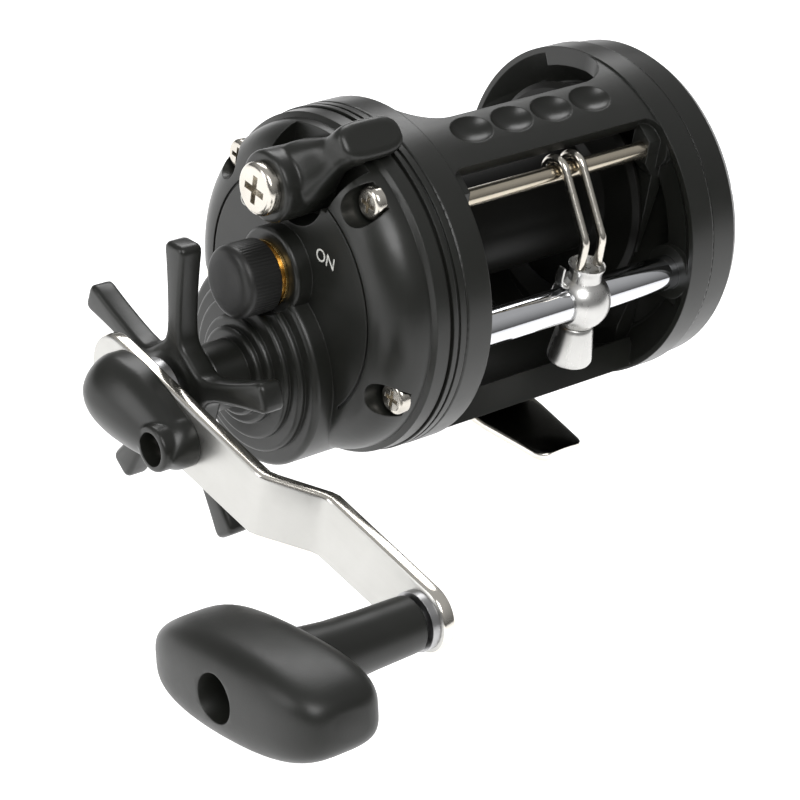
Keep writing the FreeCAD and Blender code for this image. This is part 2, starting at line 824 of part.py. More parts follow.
def idler_centre():
    """The idler sits below the line from the spool axis to the worm axis."""
    first = WIND_MODULE * (SPOOL_GEAR_TEETH + IDLER_TEETH) / 2.0
    second = WIND_MODULE * (IDLER_TEETH + WORM_GEAR_TEETH) / 2.0
    across = WIND[0].number - SPOOL[0].number
    up = WIND[1].number - SPOOL[1].number
    span = math.hypot(across, up)
    along = (first ** 2 - second ** 2 + span ** 2) / (2.0 * span)
    off = math.sqrt(first ** 2 - along ** 2)
    unit = (across / span, up / span)
    normal = (-unit[1], unit[0])
    y = unit[0] * along + normal[0] * off
    z = unit[1] * along + normal[1] * off
    return (SPOOL[0] + y, SPOOL[1] + z)


def make_spool():
    """Spool with two flanges, its shaft and the small gear that drives the level wind."""
    flange = cell("flange_radius")
    arbor = cell("arbor_radius")
    bore = SHAFT_RADIUS
    keep("spool", turned([
        (-27.4, bore), (-27.4, flange - 0.6), (-26.8, flange), (-26.2, flange), (-25.2, flange - 1.2),
        (-24.4, arbor + 1.6), (-23.4, arbor), (23.4, arbor), (24.4, arbor + 1.6),
        (25.2, flange - 1.2), (26.2, flange), (26.8, flange), (27.4, flange - 0.6), (27.4, bore),
    ], SPOOL))
    palm_end = cell("palm_face") - 1.8
    tang = common(
        block((-40.3, SPOOL[0] - 6, SPOOL[1] - 0.8), (-39.2, SPOOL[0] + 6, SPOOL[1] + 0.8)),
        rod(-41, -39, 3.4, SPOOL),
    )
    axle = union(rod(-60.0, 34.0, bore, SPOOL), rod(34.0, palm_end, PALM_JOURNAL, SPOOL), tang)
    keep("spool_shaft", axle)
    keep("spool_gear", gear(SPOOL_GEAR_TEETH, WIND_MODULE, 35.6, 37.4, SPOOL, 0.0, PALM_JOURNAL))


def make_pinion():
    """Pinion that slides on the spool shaft, its groove held by the yoke."""
    phase = meshing_phase(SHAFT, MAIN_TEETH, 0.0, SPOOL, PINION_TEETH)
    bore = SHAFT_RADIUS + RUNNING
    teeth = gear(PINION_TEETH, MAIN_MODULE, -50.0, -44.1, SPOOL, phase, bore)
    # the grooved hub beside the teeth carries the yoke; the slot takes the shaft's tang
    hub = cut(
        rod(-44.1, -39.0, 4.9, SPOOL), rod(-45, -38, bore, SPOOL), ring(-43.1, -41.3, 6.0, 3.9, SPOOL),
    )
    slot = block((-40.6, SPOOL[0] - 6, SPOOL[1] - 0.85), (-38.0, SPOOL[0] + 6, SPOOL[1] + 0.85))
    keep("pinion", cut(union(teeth, hub), slot))


def make_yoke():
    """Clutch yoke: a fork in the pinion's groove, guided by two posts on the side plate."""
    plate = extruded(
        [(-13, -3.4), (13, -3.4), (13, 3.4), (5.4, 7.6), (-5.4, 7.6), (-13, 3.4)],
        -42.9, -41.5, SPOOL, rounding=1.2,
    )
    guides = [(SPOOL[0] + side * 10.5, SPOOL[1]) for side in (-1, 1)]
    fork = block((-44, SPOOL[0] - 3.95, SPOOL[1] - 10), (-40, SPOOL[0] + 3.95, SPOOL[1]))
    holes = [rod(-44, -40, 1.2 + RUNNING, centre) for centre in guides]
    keep("yoke", cut(plate, rod(-44, -40, 3.95, SPOOL), fork, *holes))
    posts = [rod(-46.0, -cell("side_plate_face"), 1.2, centre) for centre in guides]
    keep("yoke_posts", union(*posts))


def make_wind_drive():
    """Idler, its stud, the worm gear and the crossed-groove worm inside the tube."""
    centre = idler_centre()
    idler_phase = meshing_phase(SPOOL, SPOOL_GEAR_TEETH, 0.0, centre, IDLER_TEETH)
    worm_phase = meshing_phase(centre, IDLER_TEETH, idler_phase, WIND, WORM_GEAR_TEETH)
    keep("idler_gear", gear(IDLER_TEETH, WIND_MODULE, 35.6, 37.4, centre, idler_phase, 2.0 + RUNNING))
    face = cell("palm_face")
    keep("idler_stud", union(rod(35.45, face - 2.2, 2.0, centre), rod(37.8, face - 2.2, 3.2, centre)))
    keep("worm_gear", gear(WORM_GEAR_TEETH, WIND_MODULE, 35.6, 37.4, WIND, worm_phase, 1.5))
    worm = cut(
        rod(-27.0, 27.0, 2.3, WIND),
        *[ring(-21.0 + 3.5 * index, -19.8 + 3.5 * index, 3.0, 1.8, WIND) for index in range(12)],
    )
    keep("worm_shaft", union(worm, rod(-31.0, 38.0, 1.5, WIND)))
    bushings = [ring(-31.6, -27.4, 2.8, 1.5 + RUNNING, WIND), ring(27.4, 33.6, 2.8, 1.5 + RUNNING, WIND)]
    keep("worm_bushings", union(*bushings))


def make_guide_parts():
    """Level-wind tube with its slot, and the guide rod above it."""
    tube = ring(-OUTSIDE + 0.4, OUTSIDE - 0.4, cell("wind_radius"), 2.8, WIND)
    slot = block((-24.5, WIND[0] - 1.6, WIND[1] - 5), (24.5, WIND[0] + 1.6, WIND[1]))
    keep("levelwind_tube", cut(tube, slot))
    keep("guide_rod", rod(-OUTSIDE + 0.2, OUTSIDE - 0.2, cell("rod_radius"), ROD))


CARRIAGE_X = 3.0
CAP_SCREW_REACH = 15.2


def make_carriage():
    """Carriage on the tube, its pawl and cap below, and the wire line guide above."""
    tube_fit = cell("wind_radius") + RUNNING
    body = ball(6.6, CARRIAGE_X, WIND[0], WIND[1])
    body = common(body, rod(CARRIAGE_X - 5.0, CARRIAGE_X + 5.0, 8.0, WIND))
    y, z = WIND
    collar = doc.addObject("Part::Cone", label("collar"))
    bind(collar, "Radius1", 4.4)
    bind(collar, "Radius2", 4.9)
    bind(collar, "Height", 4.2)
    place(collar, CARRIAGE_X, y, z + 4.2)
    stem = doc.addObject("Part::Cylinder", label("stem"))
    bind(stem, "Radius", 4.3)
    bind(stem, "Height", 7.0)
    place(stem, CARRIAGE_X, y, z - 7.6)
    socket = doc.addObject("Part::Cylinder", label("socket"))
    bind(socket, "Radius", 1.25)
    bind(socket, "Height", 9.0)
    place(socket, CARRIAGE_X, y, z - 9.0)
    tab = union(
        block((CARRIAGE_X - 8.0, y + 1.2, z + 3.0), (CARRIAGE_X - 3.0, y + 2.4, z + 4.2)),
        block((CARRIAGE_X - 8.0, y + 1.2, z + 3.0), (CARRIAGE_X - 6.8, y + 2.4, z + 8.6)),
    )
    bore = rod(CARRIAGE_X - 12, CARRIAGE_X + 12, tube_fit, WIND)
    keep("carriage", cut(union(body, collar, stem, tab), bore, socket))
    cap = doc.addObject("Part::Cone", label("cap"))
    bind(cap, "Radius1", 6.0)
    bind(cap, "Radius2", 4.6)
    bind(cap, "Height", 7.4)
    place(cap, CARRIAGE_X, y, z - 15.0)
    keep("pawl_cap", cap)
    pin = doc.addObject("Part::Cylinder", label("pin"))
    bind(pin, "Radius", 1.2)
    bind(pin, "Height", 4.9)
    place(pin, CARRIAGE_X, y, z - 7.6)
    keep("pawl", pin)
    wires = [wire_guide(CARRIAGE_X + side * 2.4) for side in (-1, 1)]
    keep("line_guide", union(*wires))


def wire_guide(x):
    """One polished wire: up from the collar, leaning back, hooked over the guide rod."""
    y, z = WIND[0].number, WIND[1].number
    rod_y, rod_z = ROD[0].number, ROD[1].number
    radius = 1.0
    bend_radius = 3.0
    hook_radius = SIZES["rod_radius"] + radius + 0.35
    knee_y = y - 0.5
    knee_z = z + 14.6
    reach = math.hypot(rod_y - knee_y, rod_z - knee_z)
    lean = math.atan2(rod_z - knee_z, rod_y - knee_y) + math.asin(hook_radius / reach)
    turn = math.pi / 2.0 - lean
    inset = bend_radius * math.tan(turn / 2.0)
    run = math.sqrt(reach ** 2 - hook_radius ** 2)

    def along(distance):
        return FreeCAD.Vector(x, knee_y + distance * math.cos(lean), knee_z + distance * math.sin(lean))

    def on_arc(centre_y, centre_z, size, angle):
        return FreeCAD.Vector(x, centre_y + size * math.cos(angle), centre_z + size * math.sin(angle))

    start = FreeCAD.Vector(x, knee_y, z + 8.4)
    bend_start = FreeCAD.Vector(x, knee_y, knee_z - inset)
    bend_middle = on_arc(knee_y + bend_radius, knee_z - inset, bend_radius, math.pi - turn / 2.0)
    hook_start = lean + math.pi / 2.0
    hook_end = math.radians(-10.0)
    path = Part.Wire([
        Part.LineSegment(start, bend_start).toShape(),
        Part.Arc(bend_start, bend_middle, along(inset)).toShape(),
        Part.LineSegment(along(inset), along(run)).toShape(),
        Part.Arc(
            along(run),
            on_arc(rod_y, rod_z, hook_radius, (hook_start + hook_end) / 2.0),
            on_arc(rod_y, rod_z, hook_radius, hook_end),
        ).toShape(),
    ])
    section = Part.Face(Part.Wire([Part.makeCircle(radius, start, FreeCAD.Vector(0, 0, 1))]))
    item = doc.addObject("Part::Feature", label("guide_wire"))
    item.Shape = path.makePipe(section)
    return item


# ---------------------------------------------------------------- handle, drag and clutch

def make_handle():
    """Gear sleeve with the main gear and drag stack inside, the arm and cap outside."""
    shoulder = rod(-46.9, -45.2, 7.0, SHAFT)
    sleeve = union(rod(-86.5, -40.0, SLEEVE, SHAFT), rod(-40.0, -37.2, SLEEVE - RUNNING, SHAFT), shoulder)
    keep("gear_sleeve", sleeve)
    gear_face = -48.8
    keep("main_gear", gear(MAIN_TEETH, MAIN_MODULE, gear_face, gear_face + 1.9, SHAFT, 0.0, SLEEVE))
    thin = 0.8
    faces = [gear_face - 2 * thin * pair for pair in range(3)]
    keep("drag_washers", union(*[
        ring(face - thin, face, 12.5, SLEEVE, SHAFT) for face in faces
    ]))
    keep("metal_washers", union(*[
        ring(face - (2 if face != faces[-1] else 2.5) * thin, face - thin, 13.0, SLEEVE, SHAFT)
        for face in faces
    ]))
    stack_end = faces[-1] - 2.5 * thin
    keep("spacer_sleeve", ring(-70.6, stack_end, SLEEVE + 1.2, SLEEVE, SHAFT))
    keep("star_washer", ring(-81.5, -79.6, 7.6, SLEEVE, SHAFT))
    face = -cell("arm_face")
    thickness = cell("arm_thickness")
    length = cell("arm_length")
    step = cell("knob_drop")
    back = face - thickness
    profile_body = doc.addObject("PartDesign::Body", label("arm_profile"))
    sketch = outline_sketch(profile_body, "XY_Plane", [
        (face, -30), (face, 38.6), (face + step, 51.4), (face + step, 100),
        (back + step, 100), (back + step, 51.0), (back, 38.0), (back, -30),
    ])
    pad = profile_body.newObject("PartDesign::Pad", label("pad"))
    pad.Profile = sketch
    pad.Length = 30.0
    pad.Midplane = True
    sketch.Visibility = False
    turn = FreeCAD.Rotation(FreeCAD.Vector(1, 0, 0), SIZES["arm_angle"])
    place(profile_body, 0, SHAFT[0], SHAFT[1], turn)
    outline = extruded(
        [(-18, -8), (length - 30, -7.2), (length + 7, -6.8), (length + 7, 6.8), (length - 30, 7.2), (-18, 8)],
        -90, -70, SHAFT, rounding=[(0, 7.6), (5, 7.6), (2, 6.4), (3, 6.4)], tilt=SIZES["arm_angle"],
    )
    knob_centre = polar(length, SIZES["arm_angle"], SHAFT)
    arm = cut(
        common(profile_body, outline),
        rod(-90, -78, SLEEVE, SHAFT), rod(-90, -60, 2.4, knob_centre),
        rod(-90, -82.2, 1.45, polar(CAP_SCREW_REACH, SIZES["arm_angle"], SHAFT)),
    )
    keep("handle_arm", arm)
    across = [(6.6 * math.cos(math.radians(60 * k)), 6.6 * math.sin(math.radians(60 * k))) for k in range(6)]
    nut = extruded(across, -88.0, back, SHAFT)
    keep("handle_nut", cut(nut, rod(-89, -80, SLEEVE, SHAFT)))
    return knob_centre


def make_nut_cap():
    """Teardrop cap over the handle nut, held by one screw in an oval pocket."""
    back = -cell("arm_face") - cell("arm_thickness")
    tilt = SIZES["arm_angle"]
    outline = extruded(
        [(-11.5, -8.0), (4.0, -8.6), (20.6, -5.6), (20.6, 5.6), (4.0, 8.6), (-11.5, 8.0)],
        -96, back, SHAFT, rounding=[(0, 6.4), (5, 6.4), (1, 9.0), (4, 9.0), (2, 4.6), (3, 4.6)], tilt=tilt,
    )
    roof_body = doc.addObject("PartDesign::Body", label("cap_roof"))
    sketch = outline_sketch(roof_body, "XY_Plane", [
        (-83, -14), (-83, 26), (-87.6, 26), (-89.8, 18.0), (-94.6, 0.0), (-94.6, -4.5), (-90.0, -14),
    ])
    pad = roof_body.newObject("PartDesign::Pad", label("pad"))
    pad.Profile = sketch
    pad.Length = 30.0
    pad.Midplane = True
    sketch.Visibility = False
    place(roof_body, 0, SHAFT[0], SHAFT[1], FreeCAD.Rotation(FreeCAD.Vector(1, 0, 0), tilt))
    screw_centre = polar(CAP_SCREW_REACH, tilt, SHAFT)
    cavity = rod(-88.4, -80, 7.0, SHAFT)
    pocket = rod(-99, -86.6, 3.4, screw_centre)
    through = rod(-99, -80, 1.5, screw_centre)
    keep("nut_cap", cut(common(outline, roof_body), cavity, pocket, through))
    keep("nut_cap_screw", pan_screw(-86.6, screw_centre, 3.1, 1.8, 1.45, back + 2.2))


def make_star():
    """Star drag: hub on the sleeve and five curved arms with flared ends."""
    start = -77.0
    face = -cell("star_face")
    hub = turned([
        (start, SLEEVE + RUNNING), (start, 7.2), (start + 1.2, 9.4),
        (face - 0.6, 9.4), (face, 8.6), (face, SLEEVE + RUNNING),
    ], SHAFT)
    arms = []
    for index in range(5):
        arm = extruded(
            [
                (7.0, -2.6), (20.0, -2.1), (28.0, -2.2), (32.5, -2.9),
                (32.5, 2.9), (28.0, 2.2), (20.0, 2.1), (7.0, 2.6),
            ],
            start + 0.4, face - 0.2, SHAFT, rounding=[(3, 1.4), (4, 1.4)], tilt=81.4 + 72.0 * index,
        )
        arms.append(arm)
    keep("star_wheel", cut(union(hub, *arms), rod(-90, -60, SLEEVE + RUNNING, SHAFT)))


def make_knob(knob_centre):
    """Knob post on the arm and the paddle grip that turns on it."""
    inner = -cell("arm_face") + cell("knob_drop")
    outer = inner - cell("arm_thickness")
    post_end = -117.0
    post = union(
        rod(post_end, inner, 2.4, knob_centre),
        rod(inner, inner + 1.6, 4.2, knob_centre),
        rod(outer - 1.8, outer, 6.0, knob_centre),
        rod(post_end, outer, 4.0, knob_centre),
    )
    keep("knob_post", cut(post, rod(post_end - 1, -109.0, 1.2, knob_centre)))
    keep("knob_screw", pan_screw(post_end, knob_centre, 4.8, 1.9, 1.2, -109.0))
    length = 24.5
    half = cell("grip_radius")
    front = -124.5
    back = -104.5
    outline = extruded(
        [
            (-length, -6.6), (-8.0, -half), (8.0, -half), (length, -6.6),
            (length, 6.6), (8.0, half), (-8.0, half), (-length, 6.6),
        ],
        front, back, knob_centre,
        rounding=[(0, 5.4), (3, 5.4), (4, 5.4), (7, 5.4), (1, 10.0), (2, 10.0), (5, 10.0), (6, 10.0)],
        tilt=180.0 - 16.0,
    )
    outline = rounded(outline, 4.0, lambda edge: abs(edge.CenterOfMass.x - front) < 1e-3)
    outline = rounded(outline, 3.5, lambda edge: abs(edge.CenterOfMass.x - back) < 1e-3)
    neck = taper(back - 0.5, -78.8, 6.6, 5.4, knob_centre)
    shape = cut(
        union(outline, neck),
        rod(post_end - 1, -70, 4.0 + RUNNING, knob_centre),
        rod(-130, post_end + 0.2, 5.6, knob_centre),
    )
    keep("grip", shape)


def make_lever():
    """Free-spool lever: hub on its pivot, a shank over the rim and a flat thumb tab."""
    direction = 131.0
    hub = taper(-59.6, -45.4, 7.7, 7.4, LEVER)
    shank = extruded(
        [(0, -6.6), (12.0, -4.6), (15.0, -4.4), (15.0, 4.4), (12.0, 4.6), (0, 6.6)],
        -56.0, -45.4, LEVER, tilt=direction,
    )
    tab = extruded(
        [(13.5, -4.4), (19.2, -4.4), (19.2, 4.4), (13.5, 4.4)],
        -52.0, -36.0, LEVER, rounding=[(1, 1.4), (2, 1.4)], tilt=direction,
    )
    bore = rod(-70, -40, 2.4, LEVER)
    rim_clearance = rod(-46.6, -30, RING + 0.6)
    keep("lever", cut(union(hub, shank, tab), bore, rim_clearance))
    screw = pan_screw(-59.6, LEVER, 5.6, 2.6, 2.35, -41.4)
    keep("lever_screw", screw)
    keep("clutch_cam", ring(-42.6, -41.4, 6.5, 2.35, LEVER))


def check_and_export():
    """Stop on any failed object; otherwise write one file per piece."""
    doc.recompute()
    failed = [
        item for item in doc.Objects
        if "Invalid" in item.State or "Error" in item.State
    ]
    for item in failed:
        print(f"{item.Name} ({item.Label}) failed: {item.State} used by {[user.Name for user in item.InList]}")
    if failed:
        raise RuntimeError(f"{len(failed)} objects failed")
    os.makedirs("parts", exist_ok=True)
    for name, item in parts.items():
        shape = item.Shape
        if shape.isNull() or not shape.isValid():
            raise RuntimeError(f"{name} has no valid shape")
        print(f"{name}: {len(shape.Solids)} solids, {shape.Volume:.1f} mm3")
        shape.exportStep(os.path.join("parts", f"{name}.step"))


make_frame()
make_foot()
make_rivets()
make_click_button(make_palm_side())
make_side_plate()
make_cover()
make_cast_knob()
make_spool()
make_pinion()
make_yoke()
make_wind_drive()
make_guide_parts()
make_carriage()
grip_centre = make_handle()
make_nut_cap()
make_star()
make_knob(grip_centre)
make_lever()
check_and_export()
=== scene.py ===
"""Looks of the trolling reel: materials, moulded detail, camera and studio.

The scene is in metres in the CAD frame: +Z up from the rod, -Y to the rod tip, -X the handle side.
Shapes are written in millimetres and scaled once, where a point is made. Lights and floor are in metres.
"""
import bmesh
import bpy
import json
import math
from mathutils import Matrix, Vector


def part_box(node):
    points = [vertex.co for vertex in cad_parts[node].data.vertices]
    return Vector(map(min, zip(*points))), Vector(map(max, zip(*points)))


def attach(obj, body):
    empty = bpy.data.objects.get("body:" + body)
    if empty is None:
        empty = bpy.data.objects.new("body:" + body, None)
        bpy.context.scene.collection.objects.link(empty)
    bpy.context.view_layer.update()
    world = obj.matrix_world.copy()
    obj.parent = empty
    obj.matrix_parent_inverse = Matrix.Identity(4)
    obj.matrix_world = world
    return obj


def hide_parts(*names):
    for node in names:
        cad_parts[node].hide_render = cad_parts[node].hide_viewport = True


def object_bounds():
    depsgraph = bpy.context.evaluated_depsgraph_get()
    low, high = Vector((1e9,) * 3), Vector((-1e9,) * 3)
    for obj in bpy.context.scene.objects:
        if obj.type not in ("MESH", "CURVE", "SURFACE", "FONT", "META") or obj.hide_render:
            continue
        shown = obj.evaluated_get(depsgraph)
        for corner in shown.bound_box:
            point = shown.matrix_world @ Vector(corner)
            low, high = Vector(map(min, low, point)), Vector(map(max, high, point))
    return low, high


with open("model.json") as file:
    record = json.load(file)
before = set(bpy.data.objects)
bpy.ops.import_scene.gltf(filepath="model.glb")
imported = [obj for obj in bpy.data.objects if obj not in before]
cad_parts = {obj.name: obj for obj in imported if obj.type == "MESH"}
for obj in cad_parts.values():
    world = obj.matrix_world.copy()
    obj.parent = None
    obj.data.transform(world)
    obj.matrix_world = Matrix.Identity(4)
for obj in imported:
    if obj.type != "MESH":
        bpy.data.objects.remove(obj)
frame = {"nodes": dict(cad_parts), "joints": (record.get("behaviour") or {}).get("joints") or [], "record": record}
cad_low, cad_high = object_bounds()
nodes = frame["nodes"]
joints = {joint["name"]: joint for joint in frame["joints"]}
MM = 0.001


def joint_centre(name):
    """Where a joint's axis passes, as (y, z) in millimetres."""
    place = joints[name]["pos_m"]
    return (place[1] / MM, place[2] / MM)


def middle(node):
    """Centre of a CAD node's box, in metres."""
    low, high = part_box(node)
    return (low + high) / 2.0


SPOOL = joint_centre("spool_turn")
SHAFT = joint_centre("handle_turn")
LEVER = joint_centre("lever_turn")
KNOB = joint_centre("grip_turn")
TUBE = joint_centre("worm_turn")
RING_CENTRE = middle("side_plate")
RING = (RING_CENTRE.y / MM, RING_CENTRE.z / MM)
ARM_ANGLE = math.degrees(math.atan2(KNOB[1] - SHAFT[1], KNOB[0] - SHAFT[0]))


# ---------------------------------------------------------------- materials

PATTERN_RANGE = (0.25, 0.75)


class Paint:
    """A short way to wire nodes for one material."""

    def __init__(self, name, colour, roughness, metallic=0.0):
        self.material = bpy.data.materials.new(name)
        self.material.use_nodes = True
        self.tree = self.material.node_tree
        self.shader = self.tree.nodes["Principled BSDF"]
        self.shader.inputs["Base Color"].default_value = (*colour, 1.0)
        self.shader.inputs["Roughness"].default_value = roughness
        self.shader.inputs["Metallic"].default_value = metallic
        self.place = self.add("ShaderNodeTexCoord").outputs["Object"]
        self.normal = None

    def add(self, kind, **values):
        node = self.tree.nodes.new(kind)
        for name, value in values.items():
            setattr(node, name, value)
        return node

    def link(self, source, target):
        self.tree.links.new(source, target)

    def stretched(self, scale):
        """Object coordinates scaled axis by axis, for grain that runs one way."""
        mapping = self.add("ShaderNodeMapping")
        mapping.inputs["Scale"].default_value = scale
        self.link(self.place, mapping.inputs["Vector"])
        return mapping.outputs["Vector"]

    def noise(self, scale, detail, roughness, vector=None):
        node = self.add("ShaderNodeTexNoise")
        node.inputs["Scale"].default_value = scale
        node.inputs["Detail"].default_value = detail
        node.inputs["Roughness"].default_value = roughness
        self.link(vector or self.place, node.inputs["Vector"])
        return node.outputs["Fac"]

    def spread(self, value, low, high):
        """The middle part of a pattern's values, spread over low to high."""
        node = self.add("ShaderNodeMapRange")
        numbers = (*PATTERN_RANGE, low, high)
        for name, number in zip(("From Min", "From Max", "To Min", "To Max"), numbers):
            node.inputs[name].default_value = number
        self.link(value, node.inputs["Value"])
        return node.outputs["Result"]

    def colours(self, value, first, second):
        node = self.add("ShaderNodeMix", data_type="RGBA")
        node.inputs[6].default_value = (*first, 1.0)
        node.inputs[7].default_value = (*second, 1.0)
        self.link(self.spread(value, 0.0, 1.0), node.inputs[0])
        self.link(node.outputs[2], self.shader.inputs["Base Color"])

    def sheen_of(self, value, low, high):
        self.link(self.spread(value, low, high), self.shader.inputs["Roughness"])

    def use_normal(self, output):
        self.normal = output
        self.link(output, self.shader.inputs["Normal"])

    def soft_edges(self, radius):
        """Edges catch the light as if they were rounded by this radius in millimetres."""
        node = self.add("ShaderNodeBevel", samples=4)
        node.inputs["Radius"].default_value = radius * MM
        self.use_normal(node.outputs["Normal"])

    def bump(self, value, strength, distance):
        """Relief of this depth in millimetres, on top of the softened edges."""
        node = self.add("ShaderNodeBump")
        node.inputs["Strength"].default_value = strength
        node.inputs["Distance"].default_value = distance * MM
        self.link(value, node.inputs["Height"])
        if self.normal is not None:
            self.link(self.normal, node.inputs["Normal"])
        self.use_normal(node.outputs["Normal"])


# scales of the grain: it is drawn out along the axis whose number is small
EVEN = (1.0, 1.0, 1.0)
ALONG_X = (0.04, 1.0, 1.0)
ALONG_Y = (1.0, 0.05, 1.0)
ALONG_Z = (1.0, 1.0, 0.05)
ACROSS_FOOT = (0.05, 1.0, 1.0)


def moulded(name, dark, light, rough_low, rough_high, grain=0.06, edge=0.35, shine=0.42):
    """Moulded plastic: faint mottling, uneven sheen from handling, fine mould grain."""
    paint = Paint(name, dark, rough_low)
    paint.shader.inputs["Specular IOR Level"].default_value = shine
    paint.colours(paint.noise(scale=45.0, detail=5.0, roughness=0.6), dark, light)
    paint.sheen_of(paint.noise(scale=110.0, detail=6.0, roughness=0.65), rough_low, rough_high)
    paint.soft_edges(edge)
    paint.bump(paint.noise(scale=2600.0, detail=3.0, roughness=0.5), strength=grain, distance=0.12)
    return paint.material


def polished(name, colour, tint, roughness, streak=EVEN, wear=0.10, edge=0.15, lines=0.05):
    """Metal with fine polishing lines, which run one way unless the streak is even."""
    paint = Paint(name, colour, roughness, metallic=1.0)
    paint.colours(paint.noise(scale=60.0, detail=4.0, roughness=0.6), colour, tint)
    streaks = paint.noise(scale=900.0, detail=3.0, roughness=0.6, vector=paint.stretched(streak))
    paint.sheen_of(streaks, roughness, roughness + wear)
    paint.soft_edges(edge)
    paint.bump(streaks, strength=lines, distance=0.06)
    return paint.material


def fibre():
    """Woven drag fibre."""
    paint = Paint("drag_fibre", colour=(0.09, 0.07, 0.05), roughness=0.85)
    weave = paint.add("ShaderNodeTexChecker")
    weave.inputs["Scale"].default_value = 1500.0
    paint.link(paint.place, weave.inputs["Vector"])
    paint.colours(weave.outputs["Fac"], first=(0.06, 0.05, 0.04), second=(0.13, 0.10, 0.07))
    paint.bump(weave.outputs["Fac"], strength=0.3, distance=0.2)
    return paint.material


LOOKS = {
    "moulded_black": moulded(
        "moulded_black", (0.0085, 0.0090, 0.0075), (0.0125, 0.0130, 0.0110), rough_low=0.27, rough_high=0.38,
    ),
    "spool_black": moulded(
        "spool_black", (0.004, 0.004, 0.0035), (0.007, 0.007, 0.006), rough_low=0.34, rough_high=0.44,
        grain=0.03, shine=0.15,
    ),
    "grip_black": moulded(
        "grip_black", (0.0080, 0.0085, 0.0070), (0.0120, 0.0125, 0.0105), rough_low=0.34, rough_high=0.46,
        grain=0.10,
    ),
    "knob_black": moulded(
        "knob_black", (0.0085, 0.0085, 0.0080), (0.0130, 0.0130, 0.0120), rough_low=0.36, rough_high=0.48,
        grain=0.12, edge=0.1,
    ),
    "polished_steel": polished(
        "polished_steel", (0.66, 0.63, 0.57), (0.52, 0.49, 0.44), roughness=0.14,
    ),
    "steel": polished(
        "machined_steel", (0.42, 0.42, 0.42), (0.34, 0.34, 0.35), roughness=0.26, streak=ALONG_X, wear=0.14,
    ),
    "nickel": polished(
        "ground_nickel", (0.62, 0.56, 0.46), (0.50, 0.45, 0.36), roughness=0.16, streak=ALONG_X,
        edge=0.1, lines=0.12,
    ),
    "chrome": polished(
        "chrome_plate", (0.74, 0.75, 0.77), (0.66, 0.67, 0.70), roughness=0.05, streak=ALONG_X, wear=0.05,
    ),
    "brass": polished(
        "turned_brass", (0.72, 0.50, 0.20), (0.58, 0.38, 0.13), roughness=0.20, streak=ALONG_X,
    ),
    "nylon": moulded(
        "white_nylon", (0.60, 0.59, 0.54), (0.68, 0.67, 0.62), rough_low=0.40, rough_high=0.52,
    ),
    "drag_fibre": fibre(),
    "satin_aluminium": polished(
        "satin_aluminium", (0.53, 0.525, 0.505), (0.47, 0.465, 0.445), roughness=0.30, streak=ALONG_Y,
        edge=0.1, lines=0.10,
    ),
}
BRIGHT_EDGE = polished(
    "polished_bevel", (0.78, 0.75, 0.69), (0.66, 0.63, 0.57), roughness=0.10, streak=ALONG_Y, wear=0.06,
)
# Near-black steel for the foot's flat faces: a painted reflection of the dark reel above them, not the steel's own
# colour.
FOOT_PAINTED_REFLECTION = polished(
    "foot_painted_dark_reflection", (0.085, 0.085, 0.075), (0.060, 0.060, 0.052), roughness=0.16, streak=ACROSS_FOOT,
)
SATIN_CHROME = polished(
    "satin_chrome", (0.60, 0.595, 0.58), (0.52, 0.515, 0.50), roughness=0.24, streak=ALONG_Z,
)
WHITE_INK = moulded(
    "white_ink", (0.72, 0.72, 0.68), (0.60, 0.60, 0.56), rough_low=0.45, rough_high=0.60,
)


def paint_cad_nodes():
    """Every carried-over CAD node takes the look of its material slot."""
    for part in frame["record"]["subparts"]:
        mesh = nodes[part["node"]].data
        mesh.materials.clear()
        mesh.materials.append(LOOKS[part["material_slot"]])


paint_cad_nodes()


# ---------------------------------------------------------------- shapes

SAME_POINT = 1e-7


class Spot:
    """A local frame about a line along X: u runs outward at an angle, v across it."""

    def __init__(self, centre, angle=0.0):
        self.centre = centre
        self.cos = math.cos(math.radians(angle))
        self.sin = math.sin(math.radians(angle))

    def at(self, x, u, v):
        """The point at these three, in metres."""
        y = self.centre[0] + u * self.cos - v * self.sin
        z = self.centre[1] + u * self.sin + v * self.cos
        return Vector((x, y, z)) * MM

    def inner(self, u):
        """Centre of a line along X that is u outward, as (y, z)."""
        return (self.centre[0] + u * self.cos, self.centre[1] + u * self.sin)


def mesh_piece(name, mesh):
    """An object for a mesh, in the scene."""
    piece = bpy.data.objects.new(name, mesh)
    bpy.context.scene.collection.objects.link(piece)
    return piece


def loft(name, rings, caps=True):
    """Quads between rings of equal length; caps close the two ends."""
    shape = bmesh.new()
    rows = [[shape.verts.new(point) for point in ring] for ring in rings]
    for first, second in zip(rows, rows[1:]):
        count = len(first)
        for index in range(count):
            after = (index + 1) % count
            shape.faces.new((first[index], first[after], second[after], second[index]))
    if caps:
        shape.faces.new(rows[0][::-1])
        shape.faces.new(rows[-1])
    bmesh.ops.remove_doubles(shape, verts=shape.verts, dist=SAME_POINT)
    bmesh.ops.recalc_face_normals(shape, faces=shape.faces)
    mesh = bpy.data.meshes.new(name)
    shape.to_mesh(mesh)
    shape.free()
    return mesh_piece(name, mesh)


def circle(count):
    """Angles of a full turn, in radians."""
    return [2.0 * math.pi * index / count for index in range(count)]


def turned_x(name, centre, profile, count=72, ripple=None):
    """A shape turned about a line along X from (x, radius) corners; ripple adds to the radius."""
    rings = []
    for x, radius in profile:
        ring = []
        for turn in circle(count):
            size = radius + (ripple(x, turn) if ripple else 0.0)
            y = centre[0] + size * math.cos(turn)
            z = centre[1] + size * math.sin(turn)
            ring.append(Vector((x, y, z)) * MM)
        rings.append(ring)
    return loft(name, rings)


